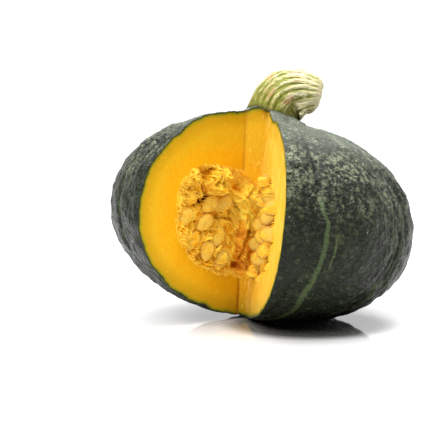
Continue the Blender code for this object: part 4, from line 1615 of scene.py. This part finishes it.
def build_floor(settings):
    mesh = bpy.data.meshes.new("floor")
    half, height = 0.7, -0.0004
    corners = [(x * half, y * half, height) for x, y in ((-1, -1), (1, -1), (1, 1), (-1, 1))]
    mesh.from_pydata(corners, [], [(0, 1, 2, 3)])
    mesh.materials.append(floor_finish(settings))
    floor = bpy.data.objects.new("floor", mesh)
    bpy.context.scene.collection.objects.link(floor)
    floor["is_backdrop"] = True


def build_sky(settings):
    """A bright ceiling and a white backdrop behind the fruit, with a dim room in front of it."""
    world = bpy.data.worlds.new("studio")
    world.use_nodes = True
    world.node_tree.nodes.clear()
    graph = Graph(world.node_tree)
    way = graph.add("ShaderNodeTexCoord", output="Generated")
    behind = (-math.sin(settings.azimuth), math.cos(settings.azimuth), 0.0)
    towards = graph.add("ShaderNodeVectorMath", {"operation": "DOT_PRODUCT"}, {0: way, 1: behind}, "Value")
    ceiling, backdrop = graph.axis(way, 2).between(0.45, 0.8) * 2.8, towards.between(0.4, 0.85) * 1.1
    seen = graph.add("ShaderNodeLightPath", output="Is Camera Ray")
    strength = ceiling.most(backdrop).most(DIM_ROOM).most(seen)
    white = (1.0, 1.0, 1.0, 1.0)
    background = graph.add("ShaderNodeBackground", None, {"Color": white, "Strength": strength})
    graph.add("ShaderNodeOutputWorld", None, {"Surface": background})
    bpy.context.scene.world = world


def build_camera(settings):
    """A long lens with the fruit a little to the right of its middle."""
    azimuth, elevation = settings.azimuth, settings.elevation
    level = math.cos(elevation)
    forward = Vector((-math.sin(azimuth) * level, math.cos(azimuth) * level, -math.sin(elevation)))
    right = forward.cross(Vector((0.0, 0.0, 1.0))).normalized()
    up = right.cross(forward)
    data = bpy.data.cameras.new("camera")
    data.lens, data.sensor_width = settings.lens, SENSOR_WIDTH
    data.clip_start, data.clip_end = 0.05, 30.0
    camera = bpy.data.objects.new("camera", data)
    back = Vector(FRUIT_ORIGIN * MM) - forward * settings.distance
    camera.location = back + right * CAMERA_OFFSET[0] + up * CAMERA_OFFSET[1]
    camera.rotation_mode = "QUATERNION"
    camera.rotation_quaternion = forward.to_track_quat("-Z", "Y")
    bpy.context.scene.collection.objects.link(camera)
    bpy.context.scene.camera = camera


def build_stage(settings):
    build_floor(settings)
    build_sky(settings)
    build_camera(settings)
    build_light("overhead", (0.1, 0.0, 1.2), (1.2, 1.2), 16.0)
    build_light("key", (-0.5, -1.2, 1.25), (1.0, 0.8), 18.0)
    build_light("right_edge", (1.3, 0.9, 0.35), (0.3, 0.7), 3.5)
    bpy.context.scene.view_settings.view_transform = "Standard"


class SQUASH_OT_body(bpy.types.Operator):
    """Build the rind and flesh, one grown thing, with the wedge cut out"""

    bl_idname = "squash.body"
    bl_label = "Rind and flesh"

    def execute(self, context):
        build_body(context.scene.squash)
        return {"FINISHED"}


class SQUASH_OT_pulp(bpy.types.Operator):
    """Build the torn fibrous pulp that fills the seed cavity"""

    bl_idname = "squash.pulp"
    bl_label = "Pulp"

    def execute(self, context):
        build_pulp(context.scene.squash.pulp)
        return {"FINISHED"}


class SQUASH_OT_fibres(bpy.types.Operator):
    """Build the loose fibres and the stubble on the pulp"""

    bl_idname = "squash.fibres"
    bl_label = "Loose fibres"

    def execute(self, context):
        build_fibres(context.scene.squash.pulp)
        return {"FINISHED"}


class SQUASH_OT_seeds(bpy.types.Operator):
    """Build every seed where the model has it"""

    bl_idname = "squash.seeds"
    bl_label = "Seeds"

    def execute(self, context):
        build_seeds(context.scene.squash.seeds)
        return {"FINISHED"}


class SQUASH_OT_stem(bpy.types.Operator):
    """Build the corky stem"""

    bl_idname = "squash.stem"
    bl_label = "Stem"

    def execute(self, context):
        build_stem(context.scene.squash.stem)
        return {"FINISHED"}


class SQUASH_OT_stage(bpy.types.Operator):
    """Build the floor, the light and the camera"""

    bl_idname = "squash.stage"
    bl_label = "Stage"

    def execute(self, context):
        build_stage(context.scene.squash.stage)
        return {"FINISHED"}


class SQUASH_PT_panel(bpy.types.Panel):
    """The squash's pieces, in the order they are built"""

    bl_label = "Kabocha squash"
    bl_idname = "SQUASH_PT_panel"
    bl_space_type = "VIEW_3D"
    bl_region_type = "UI"
    bl_category = "Squash"

    def draw(self, context):
        for operator in OPERATORS:
            self.layout.operator(operator.bl_idname)


GROUPS = (
    RindSettings, FleshSettings, PulpSettings, SeedSettings, StemSettings, StageSettings, SquashSettings,
)
OPERATORS = (
    SQUASH_OT_body, SQUASH_OT_pulp, SQUASH_OT_fibres, SQUASH_OT_seeds, SQUASH_OT_stem, SQUASH_OT_stage,
)
CLASSES = (*GROUPS, *OPERATORS, SQUASH_PT_panel)


def register():
    for each in CLASSES:
        bpy.utils.register_class(each)
    bpy.types.Scene.squash = bpy.props.PointerProperty(type=SquashSettings)


def unregister():
    del bpy.types.Scene.squash
    for each in reversed(CLASSES):
        bpy.utils.unregister_class(each)


def main():
    register()
    for operator in OPERATORS:
        group, name = operator.bl_idname.split(".")
        getattr(getattr(bpy.ops, group), name)()
    boxes = {"cad": CAD_BOX, "visual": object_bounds()}
    {name: [list(corner) for corner in box] for name, box in boxes.items()}


if __name__ == "__main__":
    main()
